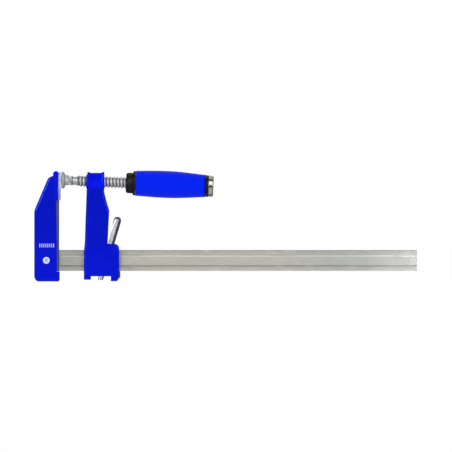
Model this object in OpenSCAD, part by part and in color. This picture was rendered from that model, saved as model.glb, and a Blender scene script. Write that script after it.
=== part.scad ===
// Quick release bar clamp: a fixed jaw riveted to a steel bar, a sliding jaw with a plate clutch
// and a release lever, and a screw spindle with a swivel pad and a turned grip.
// Millimetres. +X runs along the bar away from the fixed jaw, +Z points from the bar to the
// spindle, and the origin is the centre of the fixed jaw's clamping face.

/* [Bar] */
// Length of the bar
bar_length = 388; // [300:1:900]
// Height of the bar
bar_height = 21.2; // [19:0.1:25]
// Thickness of the bar
bar_thickness = 6.4; // [5.4:0.1:7.4]
// Bevel along the four long edges of the bar
bar_bevel = 0.8; // [0.3:0.1:1.2]
// Height of the rolled recess along each side of the bar
bar_recess_height = 10.4; // [6:0.1:12]
// Depth of that recess
bar_recess_depth = 0.9; // [0.3:0.1:1.3]
// Distance of the punched stop mark from the far end of the bar
stop_inset = 6.1; // [4:0.1:12]
// Radius of the punched stop mark
stop_radius = 1.7; // [1:0.1:2.2]
// Depth of the punched stop mark
stop_depth = 0.5; // [0.2:0.1:0.8]

/* [Reach] */
// Depth of the throat, from the spindle axis down to the top of the bar
throat = 71.2; // [66:0.1:95]
// Lean of the spindle, its far end being lower
spindle_lean = 2.3; // [1:0.1:3]
// Gap left between the swivel pad and the fixed jaw when the clamp is closed
closed_gap = 0.7; // [0.6:0.1:2]

/* [Fixed jaw] */
// Depth of the fixed jaw from its clamping face to its back
fixed_depth = 27.1; // [24:0.1:34]
// Thickness of the folded sheet of the outer channel
fixed_sheet = 2.2; // [1.6:0.1:2.8]
// Distance of the outer channel's front edges behind the clamping face
fixed_setback = 4.6; // [4.2:0.1:6]
// Reach of the fixed jaw below the bar
fixed_drop = 10.9; // [9:0.1:16]
// Distance of the foot's front behind the clamping face
foot_setback = 1.1; // [0.5:0.1:3]
// Height of the long slope's lower end below the spindle axis
slope_drop = 30.9; // [24:0.1:40]
// Distance of the long slope's upper end behind the clamping face
slope_top_depth = 14; // [12:0.1:17]
// Height of the shoulder above the spindle axis
shoulder_rise = 2.8; // [1.5:0.1:4]
// Size of the bevel at the lower back corner
heel_bevel = 3.2; // [2:0.1:5]
// Radius of the bead across the top of the jaw
bead_radius = 3.1; // [2.4:0.1:3.8]
// Height of the bead's centre above the spindle axis
bead_rise = 6.3; // [5:0.1:8]
// Thickness of the nose that backs the jaw pad
nose_thickness = 4.4; // [3.6:0.1:5.4]
// How far the nose stands out beyond each side of the channel
nose_flare = 0.8; // [0.4:0.1:1.4]
// Depth of the pressed panel in each side of both jaws
panel_depth = 0.5; // [0.2:0.1:0.8]
// Thickness of the inner channel's sheet
liner_sheet = 2.4; // [1.8:0.1:3]
// Depth of the inner channel from front to back
liner_depth = 18.4; // [17:0.1:19.5]
// Distance of the inner channel's front behind the clamping face
liner_setback = 1.7; // [1.2:0.1:2.4]
// Thickness of the jaw pad
jaw_pad_thickness = 3.4; // [2.8:0.1:4]
// Width of the jaw pad
jaw_pad_width = 15; // [12:0.1:17]
// Length of the jaw pad below the spindle axis
jaw_pad_drop = 20.5; // [16:0.1:26]
// Length of the jaw pad above the spindle axis
jaw_pad_rise = 6.8; // [5:0.1:7.5]
// Radius of the peg that holds the jaw pad in the nose
jaw_pad_peg_radius = 2.5; // [1.8:0.1:3.2]
// Radius of the rivet's shank
rivet_radius = 2.6; // [2:0.1:3]
// Radius of the rivet's heads
rivet_head_radius = 3.8; // [3.4:0.1:4.6]
// Height of the rivet's heads
rivet_head_height = 0.9; // [0.5:0.1:1.4]
// Distance of the rivet behind the clamping face
rivet_depth = 14.8; // [12:0.1:16]

/* [Sliding jaw] */
// Distance of the sliding jaw's front from the clamping face at the bar, with the clamp closed
slider_front = 23.5; // [22:0.1:24.5]
// Length of the sliding jaw's housing along the bar
slider_length = 36.1; // [35:0.1:42]
// Width between the inner faces of the sliding jaw's sides
slider_inside = 14; // [13.6:0.1:17]
// Thickness of the sliding jaw's sheet
slider_sheet = 2; // [1.6:0.1:2.4]
// Height of the housing above the bar
housing_rise = 6.4; // [6:0.1:9]
// Radius of the housing's upper far corner
housing_corner = 4.9; // [3:0.1:6]
// Reach of the near foot below the bar
near_foot_drop = 9.1; // [8:0.1:10]
// Length of the near foot along the bar
near_foot_length = 7.2; // [6:0.1:9]
// Reach of the far foot below the bar
far_foot_drop = 10.6; // [9.5:0.1:11]
// Length of the far foot along the bar
far_foot_length = 8.6; // [7:0.1:10]
// Reach of the sides below the bar between the feet
notch_drop = 5.6; // [5.2:0.1:7]
// Bevel at the lower far corner
toe_bevel = 2.4; // [1:0.1:3.2]
// Width of the arm where it meets the head
neck_width = 18.2; // [17.6:0.1:20]
// Width of the arm at its widest, near the knee
knee_width = 24; // [22:0.1:26]
// Height of the knee below the spindle axis
knee_drop = 30.9; // [26:0.1:38]
// Width of the arm where it meets the housing
root_width = 23.4; // [21:0.1:24.5]
// Lean of the arm's front edge, as a shift from the housing up to the head
arm_shift = 2.6; // [1:0.1:3.4]
// Length of the head along the spindle
head_length = 18.4; // [18:0.1:22]
// Height of the head above the spindle's axis at its middle
head_rise = 8.7; // [8.4:0.1:10]
// Depth of the head below the spindle's axis at its middle
head_drop = 7.2; // [7.1:0.1:8.6]
// Height of the raised bead at each end of the head
head_bead = 0.9; // [0.4:0.1:1.4]
// Width of those beads
head_bead_width = 2.9; // [2:0.1:4]
// Radius of the head's long upper edges
head_edge = 3; // [1.5:0.1:3.4]
// Wall of the head at its top and sides
head_wall = 1.7; // [1.4:0.1:2.2]
// Width of the nut across the jaw
nut_width = 17.2; // [16.4:0.1:19]
// Height of the nut
nut_height = 13.6; // [13.4:0.1:14]
// Thickness of the far tab below the bar
tab_thickness = 1.8; // [1.4:0.1:2.4]
// How far the far tab stands out beyond the housing
tab_step = 1.1; // [0.5:0.1:1.6]

/* [Clutch] */
// Lean of the clutch plates from square to the bar while they grip it
clutch_lean = 16.5; // [15:0.1:18]
// Distance of the lever's plate from the clamping face, at mid bar
clutch_position = 48.4; // [47.8:0.1:49]
// Thickness of each clutch plate
plate_thickness = 1.8; // [1.4:0.1:2]
// Thickness of the lever's plate
lever_thickness = 2.5; // [2:0.1:2.8]
// Width of the clutch plates
plate_width = 13; // [12.4:0.1:13.2]
// Reach of the plates' lower ends below the bar
plate_drop = 9.4; // [8:0.1:10.4]
// Height of the fulcrum above the bar
fulcrum_rise = 2.6; // [2.4:0.1:3.2]
// Radius of the fulcrum pin
fulcrum_radius = 2.2; // [1.6:0.1:2.3]
// Height of the clutch plates above the fulcrum
plate_rise = 1; // [0.6:0.1:1.4]
// Width of the lever's thumb blade
lever_width = 11; // [9:0.1:12]
// Height of the lever's tip above the bar
lever_rise = 33.7; // [28:0.1:38]
// Depth of the lever's side flanges at their lower end
flange_depth_low = 4.3; // [3:0.1:4.8]
// Depth of the lever's side flanges at their upper end
flange_depth_high = 3.3; // [2.4:0.1:3.6]
// Thickness of those flanges
flange_thickness = 1.5; // [1.2:0.1:2]
// Outer radius of the clutch spring
spring_radius = 2.4; // [1.8:0.1:2.5]
// Thickness of the spring wire
spring_wire = 0.7; // [0.5:0.05:0.9]
// Number of coils in the clutch spring
spring_coils = 6; // [4:1:8]

/* [Swivel pad] */
// Radius of the swivel pad's face
pad_radius = 8.4; // [7:0.1:8.8]
// Thickness of the pad's disc
pad_thickness = 2.5; // [2:0.1:3]
// Outer radius of the pad's socket
socket_radius = 5.3; // [5:0.1:6]
// Length of the swivel pad from its face to the back of its socket
pad_length = 8.2; // [8:0.1:8.4]
// Radius of the spindle's ball
ball_radius = 3.5; // [3.2:0.1:3.7]
// Distance of the ball's centre behind the pad's face
ball_depth = 4.9; // [4.7:0.1:5]
// Radius of the ball's neck
ball_neck_radius = 2.1; // [1.6:0.1:2.3]
// Radius of the socket's mouth
socket_mouth_radius = 3; // [2.9:0.1:3.1]

/* [Spindle] */
// Outer radius of the spindle's thread
thread_radius = 5.4; // [5:0.1:5.5]
// Radius of the thread's root
thread_root_radius = 4.35; // [4.25:0.05:4.5]
// Pitch of the thread
thread_pitch = 3.5; // [3:0.1:4]
// Radius of the plain shank ahead of the thread
shank_radius = 4.2; // [3.9:0.1:4.2]
// Radius of the spindle's collar behind the ball
collar_radius = 4.7; // [4.4:0.1:4.8]
// Thickness of that collar
collar_thickness = 1.5; // [1:0.1:2]
// Thickness of the retaining ring behind the collar
ring_thickness = 0.9; // [0.7:0.1:1.2]
// Outer radius of the retaining ring
ring_radius = 5; // [4.8:0.1:5.3]
// Distance of the thread's start from the clamping face
thread_start = 16.6; // [16:0.1:18]

/* [Handle] */
// Distance of the handle from the clamping face with the clamp closed
handle_start = 66.9; // [66:0.1:80]
// Length of the black front collar
handle_collar_length = 6.7; // [5:0.1:9]
// Radius of the black front collar
handle_collar_radius = 10.5; // [9.5:0.1:11.5]
// Length of the black flare behind it
flare_length = 2.7; // [2:0.1:4]
// Radius of the black flare
flare_radius = 12.5; // [12:0.1:13]
// Length of the grip
grip_length = 71.8; // [60:0.1:95]
// Radius of the grip at its front end
grip_front_radius = 12.8; // [12.4:0.1:13.4]
// Radius of the grip at its fullest
grip_full_radius = 13.8; // [13.2:0.1:15]
// Radius of the grip at its rear end
grip_rear_radius = 11.4; // [11:0.1:12.4]
// Length of the black ring behind the grip
rear_ring_length = 2.6; // [2:0.1:4]
// Radius of the black ring behind the grip
rear_ring_radius = 11.1; // [10.6:0.1:12]
// Radius of the black core inside the grip
core_radius = 8.2; // [7.4:0.1:9]
// Length of the steel end cap
cap_length = 6.1; // [5:0.1:8]
// Radius of the steel end cap
cap_radius = 10.9; // [10:0.1:11]
// Rounding of the end cap's edge
cap_edge = 3.4; // [2:0.1:4]
// Radius of the pin that holds the handle on the spindle
handle_pin_radius = 1.5; // [1:0.1:2]

/* [Fits] */
// Clearance between the bar and what slides on it
slide_gap = 0.15; // [0.1:0.05:0.2]
// Clearance between pieces that are seated in each other
seat_gap = 0.1; // [0.05:0.05:0.1]
// Clearance of a turning fit
running_gap = 0.08; // [0.05:0.01:0.1]
// Radial clearance between the thread and the nut
thread_gap = 0.35; // [0.3:0.05:0.4]

/* [Hidden] */
$fn = 64;
beyond = 1;

// Small amounts that follow from nothing else
shoulder_step = 1.8;
shoulder_length = 6;
panel_margin = 5;
arm_root_step = 0.9;
arm_knee_step = 2;
head_overhang = 0.4;
guide_reach = 3.6;
lever_bend_rise = 0.7;
spring_clearance = 0.35;

// Heights along Z
bar_top = -throat;
bar_bottom = bar_top - bar_height;
bar_mid = (bar_top + bar_bottom) / 2;
foot_top = bar_bottom - 0.7;
notch_z = bar_bottom - notch_drop;

// Widths along Y
liner_inside = bar_thickness + 2 * slide_gap;
liner_width = liner_inside + 2 * liner_sheet;
fixed_inside = liner_width + 2 * seat_gap;
fixed_width = fixed_inside + 2 * fixed_sheet;
nose_width = fixed_width + 2 * nose_flare;
slider_width = slider_inside + 2 * slider_sheet;
head_width = nut_width + 2 * (head_wall + seat_gap);
guide_width = slider_inside - 2 * seat_gap;

// Places along X
bar_start = -fixed_depth + fixed_sheet + 2 * seat_gap;
bar_end = bar_start + bar_length;
nose_front = -jaw_pad_thickness;
nose_back = nose_front - nose_thickness;
nose_bottom = -jaw_pad_drop + 0.3;
slider_far = slider_front + slider_length;
root_front = slider_front + arm_root_step;
knee_front = slider_front + arm_knee_step;
neck_front = slider_front + arm_shift + head_overhang;
head_front = slider_front + arm_shift;
head_far = head_front + head_length;
head_mid = (head_front + head_far) / 2;
head_axis_z = -head_mid * tan(spindle_lean);
head_top = head_axis_z + head_rise;
head_bottom = head_axis_z - head_drop;

// Places along the spindle's own axis, from the clamping face
pad_face = closed_gap;
ball_centre = pad_face + ball_depth;
collar_start = ball_centre + 4;
ring_start = collar_start + collar_thickness;
ring_end = ring_start + ring_thickness + 2 * running_gap;
ring_groove_radius = shank_radius - 0.7;
thread_end = handle_start + handle_collar_length / 2;
flare_start = handle_start + handle_collar_length;
grip_start = flare_start + flare_length;
grip_end = grip_start + grip_length;
handle_end = grip_end + rear_ring_length;
tang_end = grip_end - 6;
handle_pin_place = grip_start + 9;

// Clutch
plate_stack = plate_thickness + running_gap;
rear_plate_offset = -(lever_thickness + plate_thickness) / 2 - running_gap;
front_plate_offset = rear_plate_offset - plate_stack;
fulcrum_z = bar_top + fulcrum_rise;
plate_top = (fulcrum_z + plate_rise - bar_mid) / cos(clutch_lean);
plate_bottom = (bar_bottom - plate_drop - bar_mid) / cos(clutch_lean);
lever_tip = (bar_top + lever_rise - bar_mid) / cos(clutch_lean);
spring_z = bar_bottom - spring_clearance - spring_radius;
spring_pip_radius = spring_radius - spring_wire - spring_clearance;
spring_start = clutch_position + (spring_z + spring_radius - bar_mid) * tan(clutch_lean)
    + lever_thickness / 2 / cos(clutch_lean) + seat_gap;
tab_face = slider_far + tab_step - tab_thickness;
lever_room_far = clutch_position + (bar_top + housing_rise - bar_mid) * tan(clutch_lean)
    + lever_thickness / 2 / cos(clutch_lean) + 0.5;

// Points of an arc about [x, z], counted in equal steps
function arc(x, z, r, from, to, steps = 12) =
    [for (i = [0 : steps]) let (a = from + (to - from) * i / steps) [x + r * cos(a), z + r * sin(a)]];

// A closed outline moved inwards by d, for points that run anticlockwise
function inset(points, d) = [
    for (i = [0 : len(points) - 1])
        let (
            n = len(points),
            here = points[i],
            before = here - points[(i + n - 1) % n],
            after = points[(i + 1) % n] - here,
            u = before / norm(before),
            v = after / norm(after),
            turn = u[0] * v[1] - u[1] * v[0],
            along = 1 + u * v
        )
        here + d * ([-u[1], u[0]] + [-v[1], v[0]]) / along
];

// A flat outline in X and Z, given a width along Y about the middle plane
module slab(width) {
    translate([0, width / 2, 0])
        rotate([90, 0, 0])
            linear_extrude(height = width)
                children();
}

// An outline in Y and Z, run along X
module run_along_x(start, length) {
    translate([start, 0, 0])
        rotate([90, 0, 90])
            linear_extrude(height = length)
                children();
}

// A block from one corner to the other along X and Z, with a width along Y
module block(x0, x1, z0, z1, width) {
    translate([x0, -width / 2, z0])
        cube([x1 - x0, width, z1 - z0]);
}

// A shape turned about the X axis, from points of [radius, place along X]
module turned(profile) {
    rotate([0, 90, 0])
        rotate_extrude()
            polygon(profile);
}

// A cylinder along X
module rod(x0, x1, r) {
    translate([x0, 0, 0])
        rotate([0, 90, 0])
            cylinder(r = r, h = x1 - x0);
}

// A cylinder across the clamp, along Y
module cross_rod(x, z, r, length) {
    translate([x, length / 2, z])
        rotate([90, 0, 0])
            cylinder(r = r, h = length);
}

// Places its children on the spindle's leaning axis
module on_spindle() {
    rotate([0, spindle_lean, 0])
        children();
}

// The room that the bar takes, with a clearance all round
module bar_room(x0, x1, gap) {
    block(x0, x1, bar_bottom - gap, bar_top + gap, bar_thickness + 2 * gap);
}

// ---- Bar ----

module bar_section() {
    y = bar_thickness / 2;
    z = bar_height / 2;
    w = bar_recess_height / 2;
    d = bar_recess_depth;
    half = [
        [y - bar_bevel, -z], [y, -z + bar_bevel], [y, -w - d / 2], [y - d, -w + d / 2],
        [y - d, w - d / 2], [y, w + d / 2], [y, z - bar_bevel], [y - bar_bevel, z]
    ];
    polygon(concat(half, [for (p = half) -p]));
}

module bar() {
    color([0.72, 0.71, 0.67])
        difference() {
            run_along_x(bar_start, bar_length)
                translate([0, bar_mid])
                    bar_section();
            cross_rod(-rivet_depth, bar_mid, rivet_radius + seat_gap, bar_thickness + 2 * beyond);
            for (side = [-1, 1])
                translate([bar_end - stop_inset, side * (bar_thickness / 2 - bar_recess_depth), bar_mid])
                    rotate([-side * 90, 0, 0])
                        translate([0, 0, -stop_depth])
                            cylinder(r1 = 0, r2 = 2 * stop_radius, h = 2 * stop_depth);
        }
}

// ---- Fixed jaw ----

function fixed_outline() = [
    [-fixed_depth + heel_bevel * 0.9, bar_bottom - fixed_drop],
    [-foot_setback, bar_bottom - fixed_drop],
    [-foot_setback, foot_top],
    [-fixed_setback, foot_top],
    [-fixed_setback, shoulder_rise + shoulder_step],
    [-slope_top_depth + shoulder_length, shoulder_rise + shoulder_step],
    [-slope_top_depth + shoulder_step, shoulder_rise],
    [-slope_top_depth, 0],
    [-fixed_depth, -slope_drop],
    [-fixed_depth, bar_bottom - fixed_drop + heel_bevel]
];

// The pressed panel in each side of the fixed jaw
function fixed_panel() =
    let (
        back = -fixed_depth + panel_margin, front = nose_back - seat_gap,
        bottom = bar_top + 2 * panel_margin, top = -panel_margin
    )
    [
        [back, bottom], [front, bottom], [front, top],
        [-slope_top_depth, top], [back, -slope_drop + panel_margin]
    ];

module fixed_jaw_shell() {
    bead_x = nose_front - bead_radius / 2;
    pad_room = jaw_pad_rise + seat_gap;
    color([0.03, 0.1, 0.85])
        difference() {
            union() {
                difference() {
                    slab(fixed_width)
                        polygon(fixed_outline());
                    slab(fixed_inside)
                        polygon(inset(fixed_outline(), fixed_sheet));
                    block(nose_back, beyond, foot_top, nose_bottom, fixed_inside);
                }
                // the solid nose and the bead across the top of it
                block(nose_back, nose_front, nose_bottom, bead_rise, nose_width);
                cross_rod(bead_x, bead_rise, bead_radius, nose_width);
            }
            for (side = [-1, 1])
                translate([0, side * (fixed_width / 2 + beyond / 2 - panel_depth / 2), 0])
                    slab(panel_depth + beyond)
                        polygon(fixed_panel());
            block(nose_front, beyond, nose_bottom - beyond, pad_room, nose_width + beyond);
            rod(nose_back - beyond, nose_front + beyond, jaw_pad_peg_radius + seat_gap);
            cross_rod(-rivet_depth, bar_mid, rivet_radius + seat_gap, fixed_width + 2 * beyond);
        }
}

module fixed_jaw_liner() {
    front = -liner_setback;
    top = -jaw_pad_drop - seat_gap;
    back = front - liner_depth;
    bottom = foot_top + seat_gap;
    color([0.62, 0.64, 0.66])
        difference() {
            block(back, front, bottom, top, liner_width);
            // the hollow behind the front web, and the slot for the bar through it
            block(back - beyond, front - liner_sheet, bottom - beyond, top + beyond, liner_inside);
            block(back - beyond, front + beyond, bottom - beyond, bar_top + slide_gap, liner_inside);
            cross_rod(-rivet_depth, bar_mid, rivet_radius + seat_gap, liner_width + 2 * beyond);
            // the upper rear corner follows the slope of the outer channel
            slab(liner_width + beyond)
                polygon([
                    [-fixed_depth, -slope_drop - beyond], [-fixed_depth, top + beyond],
                    [(front + back) / 2, top + beyond], [back + beyond, -slope_drop - beyond]
                ]);
        }
}

module fixed_jaw_rivet() {
    face = fixed_width / 2 + seat_gap;
    r = rivet_head_radius;
    h = rivet_head_height;
    color([0.85, 0.85, 0.87])
        translate([-rivet_depth, 0, bar_mid])
            rotate([90, 0, 0])
                rotate_extrude()
                    polygon([
                        [0, -face - h], [r * 0.6, -face - h], [r, -face - h * 0.35], [r, -face],
                        [rivet_radius, -face], [rivet_radius, face], [r, face],
                        [r, face + h * 0.35], [r * 0.6, face + h], [0, face + h]
                    ]);
}

module fixed_jaw_pad() {
    edge = 0.8;
    top = jaw_pad_rise;
    color([0.6, 0.62, 0.64])
        union() {
            slab(jaw_pad_width)
                polygon([
                    [nose_front, -jaw_pad_drop], [-edge, -jaw_pad_drop], [0, -jaw_pad_drop + edge],
                    [0, top - edge], [-edge, top], [nose_front, top]
                ]);
            rod(nose_back, nose_front + 0.2, jaw_pad_peg_radius);
        }
}

// ---- Sliding jaw ----

function slider_outline() = concat(
    [
        [slider_front, bar_bottom - near_foot_drop],
        [slider_front + near_foot_length, bar_bottom - near_foot_drop],
        [slider_front + near_foot_length, notch_z],
        [slider_far - far_foot_length, notch_z],
        [slider_far - far_foot_length, bar_bottom - far_foot_drop],
        [slider_far - toe_bevel, bar_bottom - far_foot_drop],
        [slider_far, bar_bottom - far_foot_drop + toe_bevel * 1.3]
    ],
    arc(slider_far - housing_corner, bar_top + housing_rise - housing_corner, housing_corner, 0, 90, 8),
    [
        [root_front + root_width, bar_top + housing_rise],
        [knee_front + knee_width, -knee_drop],
        [neck_front + neck_width, head_bottom],
        [neck_front + neck_width, head_bottom + head_wall],
        [neck_front, head_bottom + head_wall],
        [root_front, bar_top + housing_rise]
    ]
);

// The pressed panel in each side of the sliding jaw's arm
function slider_panel() =
    let (
        far = root_front + root_width - 0.8 * panel_margin,
        bottom = bar_top + housing_rise + 0.2 * panel_margin, top = head_bottom - 0.6 * panel_margin
    )
    [
        [root_front + 0.8 * panel_margin, bottom], [far, bottom], [far, -knee_drop],
        [neck_front + neck_width - 0.4 * panel_margin, top], [neck_front + 0.7 * panel_margin, top]
    ];

// The head's section across the spindle: flat below, with two rounded upper edges
module head_section(grow) {
    half = head_width / 2 + grow;
    top = head_top + grow;
    polygon(concat(
        [[-half, head_bottom], [half, head_bottom]],
        arc(half - head_edge, top - head_edge, head_edge, 0, 90, 8),
        arc(-half + head_edge, top - head_edge, head_edge, 90, 180, 8)
    ));
}

// The hollow of the housing, open below, less a clearance
function housing_hollow(gap) = concat(
    [
        [slider_front + slider_sheet + gap, bar_bottom - fixed_drop - beyond],
        [tab_face - gap, bar_bottom - fixed_drop - beyond],
        [tab_face - gap, bar_bottom],
        [slider_far - slider_sheet - gap, bar_bottom]
    ],
    arc(
        slider_far - housing_corner, bar_top + housing_rise - housing_corner,
        housing_corner - slider_sheet - gap, 0, 90, 8
    ),
    [[slider_front + slider_sheet + gap, bar_top + housing_rise - slider_sheet - gap]]
);

module slider_head() {
    run_along_x(head_front, head_length)
        head_section(0);
    for (x = [head_front + seat_gap, head_far - seat_gap - head_bead_width])
        run_along_x(x, head_bead_width)
            head_section(head_bead);
}

module nut_room(gap) {
    block(
        head_front + slider_sheet, head_far - slider_sheet,
        head_axis_z - nut_height / 2 - gap, head_axis_z + nut_height / 2 + gap, nut_width + 2 * gap
    );
}

module sliding_jaw_shell() {
    slot_top = bar_top + housing_rise;
    color([0.03, 0.1, 0.85])
        difference() {
            union() {
                slab(slider_width)
                    polygon(slider_outline());
                slider_head();
                // the folded tab below the bar that the clutch spring pushes on
                slab(slider_width)
                    polygon([
                        [tab_face, bar_bottom - slide_gap],
                        [tab_face, bar_bottom - far_foot_drop + toe_bevel],
                        [slider_far + tab_step, bar_bottom - far_foot_drop + toe_bevel * 1.4],
                        [slider_far + tab_step, bar_bottom - slide_gap]
                    ]);
            }
            // the hollow of the arm, open towards the handle, and the gap that the lever stands in
            slab(slider_inside)
                polygon([
                    [slider_front + slider_sheet, bar_top],
                    [lever_room_far, bar_top],
                    [lever_room_far, slot_top + beyond],
                    [knee_front + knee_width + beyond, slot_top + beyond],
                    [knee_front + knee_width + beyond, head_bottom - beyond],
                    [neck_front + slider_sheet, head_bottom - beyond],
                    [root_front + slider_sheet, slot_top]
                ]);
            slab(slider_inside)
                polygon(housing_hollow(0));
            block(
                head_front + slider_sheet, head_far - slider_sheet,
                head_bottom - 2 * beyond, head_axis_z, slider_inside
            );
            nut_room(seat_gap);
            bar_room(slider_front - beyond, slider_far + tab_step + beyond, slide_gap);
            on_spindle()
                rod(head_front - 2 * beyond, head_far + 2 * beyond, thread_radius + thread_gap + seat_gap);
            for (side = [-1, 1])
                translate([0, side * (slider_width / 2 + beyond / 2 - panel_depth / 2), 0])
                    slab(panel_depth + beyond)
                        polygon(slider_panel());
        }
    // the pressed pip that centres the spring
    color([0.03, 0.1, 0.85])
        translate([0, 0, spring_z])
            rod(tab_face - spring_radius, tab_face + tab_thickness / 2, spring_pip_radius);
}

module near_bar_guide() {
    x0 = slider_front + slider_sheet + seat_gap;
    x1 = slider_front + near_foot_length - seat_gap;
    color([0.45, 0.46, 0.48])
        difference() {
            block(x0, x1, bar_bottom - near_foot_drop + seat_gap, bar_bottom + guide_reach, guide_width);
            bar_room(x0 - beyond, x1 + beyond, slide_gap);
        }
}

module far_bar_guide() {
    x1 = slider_far - slider_sheet;
    x0 = lever_room_far - seat_gap;
    color([0.45, 0.46, 0.48])
        difference() {
            intersection() {
                block(x0, x1, bar_top - guide_reach, bar_top + housing_rise, guide_width);
                slab(slider_width)
                    polygon(housing_hollow(seat_gap));
            }
            bar_room(x0 - beyond, x1 + beyond, slide_gap);
        }
}

// ---- Clutch ----

// Where a plate's own frame stands: its middle on the bar's middle, leaning with the clutch
module in_plate(offset) {
    translate([clutch_position + offset / cos(clutch_lean), 0, bar_mid])
        rotate([0, clutch_lean, 0])
            children();
}

// The slot for the bar, just high enough to slide when the plate stands up straighter
module plate_slot(thickness) {
    half = (bar_height / 2 + seat_gap + thickness / 2 * sin(clutch_lean)) / cos(clutch_lean);
    translate([-thickness, -bar_thickness / 2 - slide_gap, -half])
        cube([2 * thickness, bar_thickness + 2 * slide_gap, 2 * half]);
}

// A flat plate in its own frame, with rounded lower corners
module plate_blank(thickness, width, bottom, top) {
    corner = 2.5;
    translate([-thickness / 2, 0, 0])
        rotate([90, 0, 90])
            linear_extrude(height = thickness)
                polygon(concat(
                    arc(-width / 2 + corner, bottom + corner, corner, 180, 270, 6),
                    arc(width / 2 - corner, bottom + corner, corner, 270, 360, 6),
                    [[width / 2, top], [-width / 2, top]]
                ));
}

module clutch_plate(offset) {
    color([0.7, 0.7, 0.68])
        in_plate(offset)
            difference() {
                plate_blank(plate_thickness, plate_width, plate_bottom, plate_top);
                plate_slot(plate_thickness);
            }
}

module clutch_plate_front() {
    clutch_plate(front_plate_offset);
}

module clutch_plate_rear() {
    clutch_plate(rear_plate_offset);
}

module release_lever() {
    tip_radius = (lever_thickness + flange_depth_high) / 2;
    flange_low = plate_top + lever_bend_rise;
    flange_top = lever_tip - tip_radius;
    web = lever_thickness / 2;
    color([0.78, 0.78, 0.8])
        in_plate(0)
            difference() {
                union() {
                    plate_blank(lever_thickness, plate_width, plate_bottom, flange_low);
                    plate_blank(lever_thickness, lever_width, 0, flange_top);
                    for (side = [-1, 1])
                        translate([0, side * (lever_width - flange_thickness) / 2, 0])
                            slab(flange_thickness)
                                polygon([
                                    [web - 0.2, flange_low], [web - 0.2, flange_top],
                                    [-web - flange_depth_high, flange_top],
                                    [-web - flange_depth_low, flange_low]
                                ]);
                    cross_rod(web - tip_radius, flange_top, tip_radius, lever_width);
                }
                plate_slot(lever_thickness);
            }
}

// A round wire wound into a coil along X, with flat-lying end coils
module clutch_spring() {
    sides = 8;
    steps = 14;
    length = tab_face - seat_gap - spring_start;
    wire = spring_wire / 2;
    mean = spring_radius - wire;
    total = spring_coils * steps;
    function place(i) = wire + (length - 2 * wire) * i / total;
    rings = [
        for (i = [0 : total])
            let (a = 360 * i / steps)
            for (k = [0 : sides - 1])
                let (b = 360 * k / sides, r = mean + wire * cos(b))
                [place(i) + wire * sin(b), r * cos(a), r * sin(a)]
    ];
    sides_faces = [
        for (i = [0 : total - 1], k = [0 : sides - 1])
            let (p = i * sides + k, q = i * sides + (k + 1) % sides)
            [p, q, q + sides, p + sides]
    ];
    color([0.6, 0.6, 0.62])
        translate([spring_start, 0, spring_z])
            polyhedron(
                points = rings,
                faces = concat(
                    sides_faces,
                    [[for (k = [sides - 1 : -1 : 0]) k]],
                    [[for (k = [0 : sides - 1]) total * sides + k]]
                )
            );
}

module clutch_fulcrum_pin() {
    reach = fulcrum_radius + seat_gap;
    face = clutch_position + (front_plate_offset - plate_thickness / 2) / cos(clutch_lean)
        + (fulcrum_z - bar_mid) * tan(clutch_lean);
    color([0.5, 0.5, 0.52])
        cross_rod(
            face - reach * cos(clutch_lean), fulcrum_z + reach * sin(clutch_lean),
            fulcrum_radius, guide_width
        );
}

// ---- Swivel pad ----

module pad_retaining_ring() {
    color([0.25, 0.25, 0.27])
        on_spindle()
            difference() {
                rod(ring_start + running_gap, ring_end - running_gap, ring_radius);
                rod(ring_start - beyond, ring_end + beyond, ring_groove_radius + running_gap);
            }
}

module swivel_pad_disc() {
    rim = 0.7;
    back = pad_face + pad_thickness;
    color([0.8, 0.8, 0.78])
        turned([
            [0, pad_face], [pad_radius - rim, pad_face], [pad_radius, pad_face + rim],
            [pad_radius, back - rim / 2], [socket_radius + 1.2, back + 1.1],
            [socket_radius + seat_gap, back + 1.1], [socket_radius + seat_gap, pad_face + 1],
            [0, pad_face + 1]
        ]);
}

module swivel_pad_socket() {
    front = pad_face + 1 + seat_gap;
    back = pad_face + pad_length;
    mouth = 0.6;
    color([0.78, 0.78, 0.76])
        difference() {
            turned([
                [0, front], [socket_radius, front], [socket_radius, back - mouth],
                [socket_radius - mouth, back], [0, back]
            ]);
            translate([ball_centre, 0, -ball_centre * sin(spindle_lean)])
                sphere(r = ball_radius + running_gap);
            rod(ball_centre, back + beyond, socket_mouth_radius);
        }
}

// ---- Spindle ----

// How far out the thread stands at a share of one turn: root, rising flank, crest, falling flank
function thread_height(share, crest, flank) =
    let (from_crest = abs(share - 0.5))
    from_crest < crest / 2 ? 1
    : from_crest < crest / 2 + flank ? 1 - (from_crest - crest / 2) / flank
    : 0;

// A single-start right-hand screw from 0 along Z; points and slices are counts per turn
module screw(length, root, outer, crest, flank, points, slices) {
    turns = length / thread_pitch;
    linear_extrude(height = length, twist = -360 * turns, slices = round(slices * turns), segments = points)
        polygon([
            for (i = [0 : points - 1])
                let (
                    share = i / points,
                    r = root + (outer - root) * thread_height(share, crest, flank)
                )
                [r * cos(360 * share), r * sin(360 * share)]
        ]);
}

// The screw's place, which the nut's thread shares
module thread_frame(start) {
    on_spindle()
        translate([start, 0, 0])
            rotate([0, 90, 0])
                rotate([0, 0, 360 * start / thread_pitch])
                    children();
}

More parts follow.
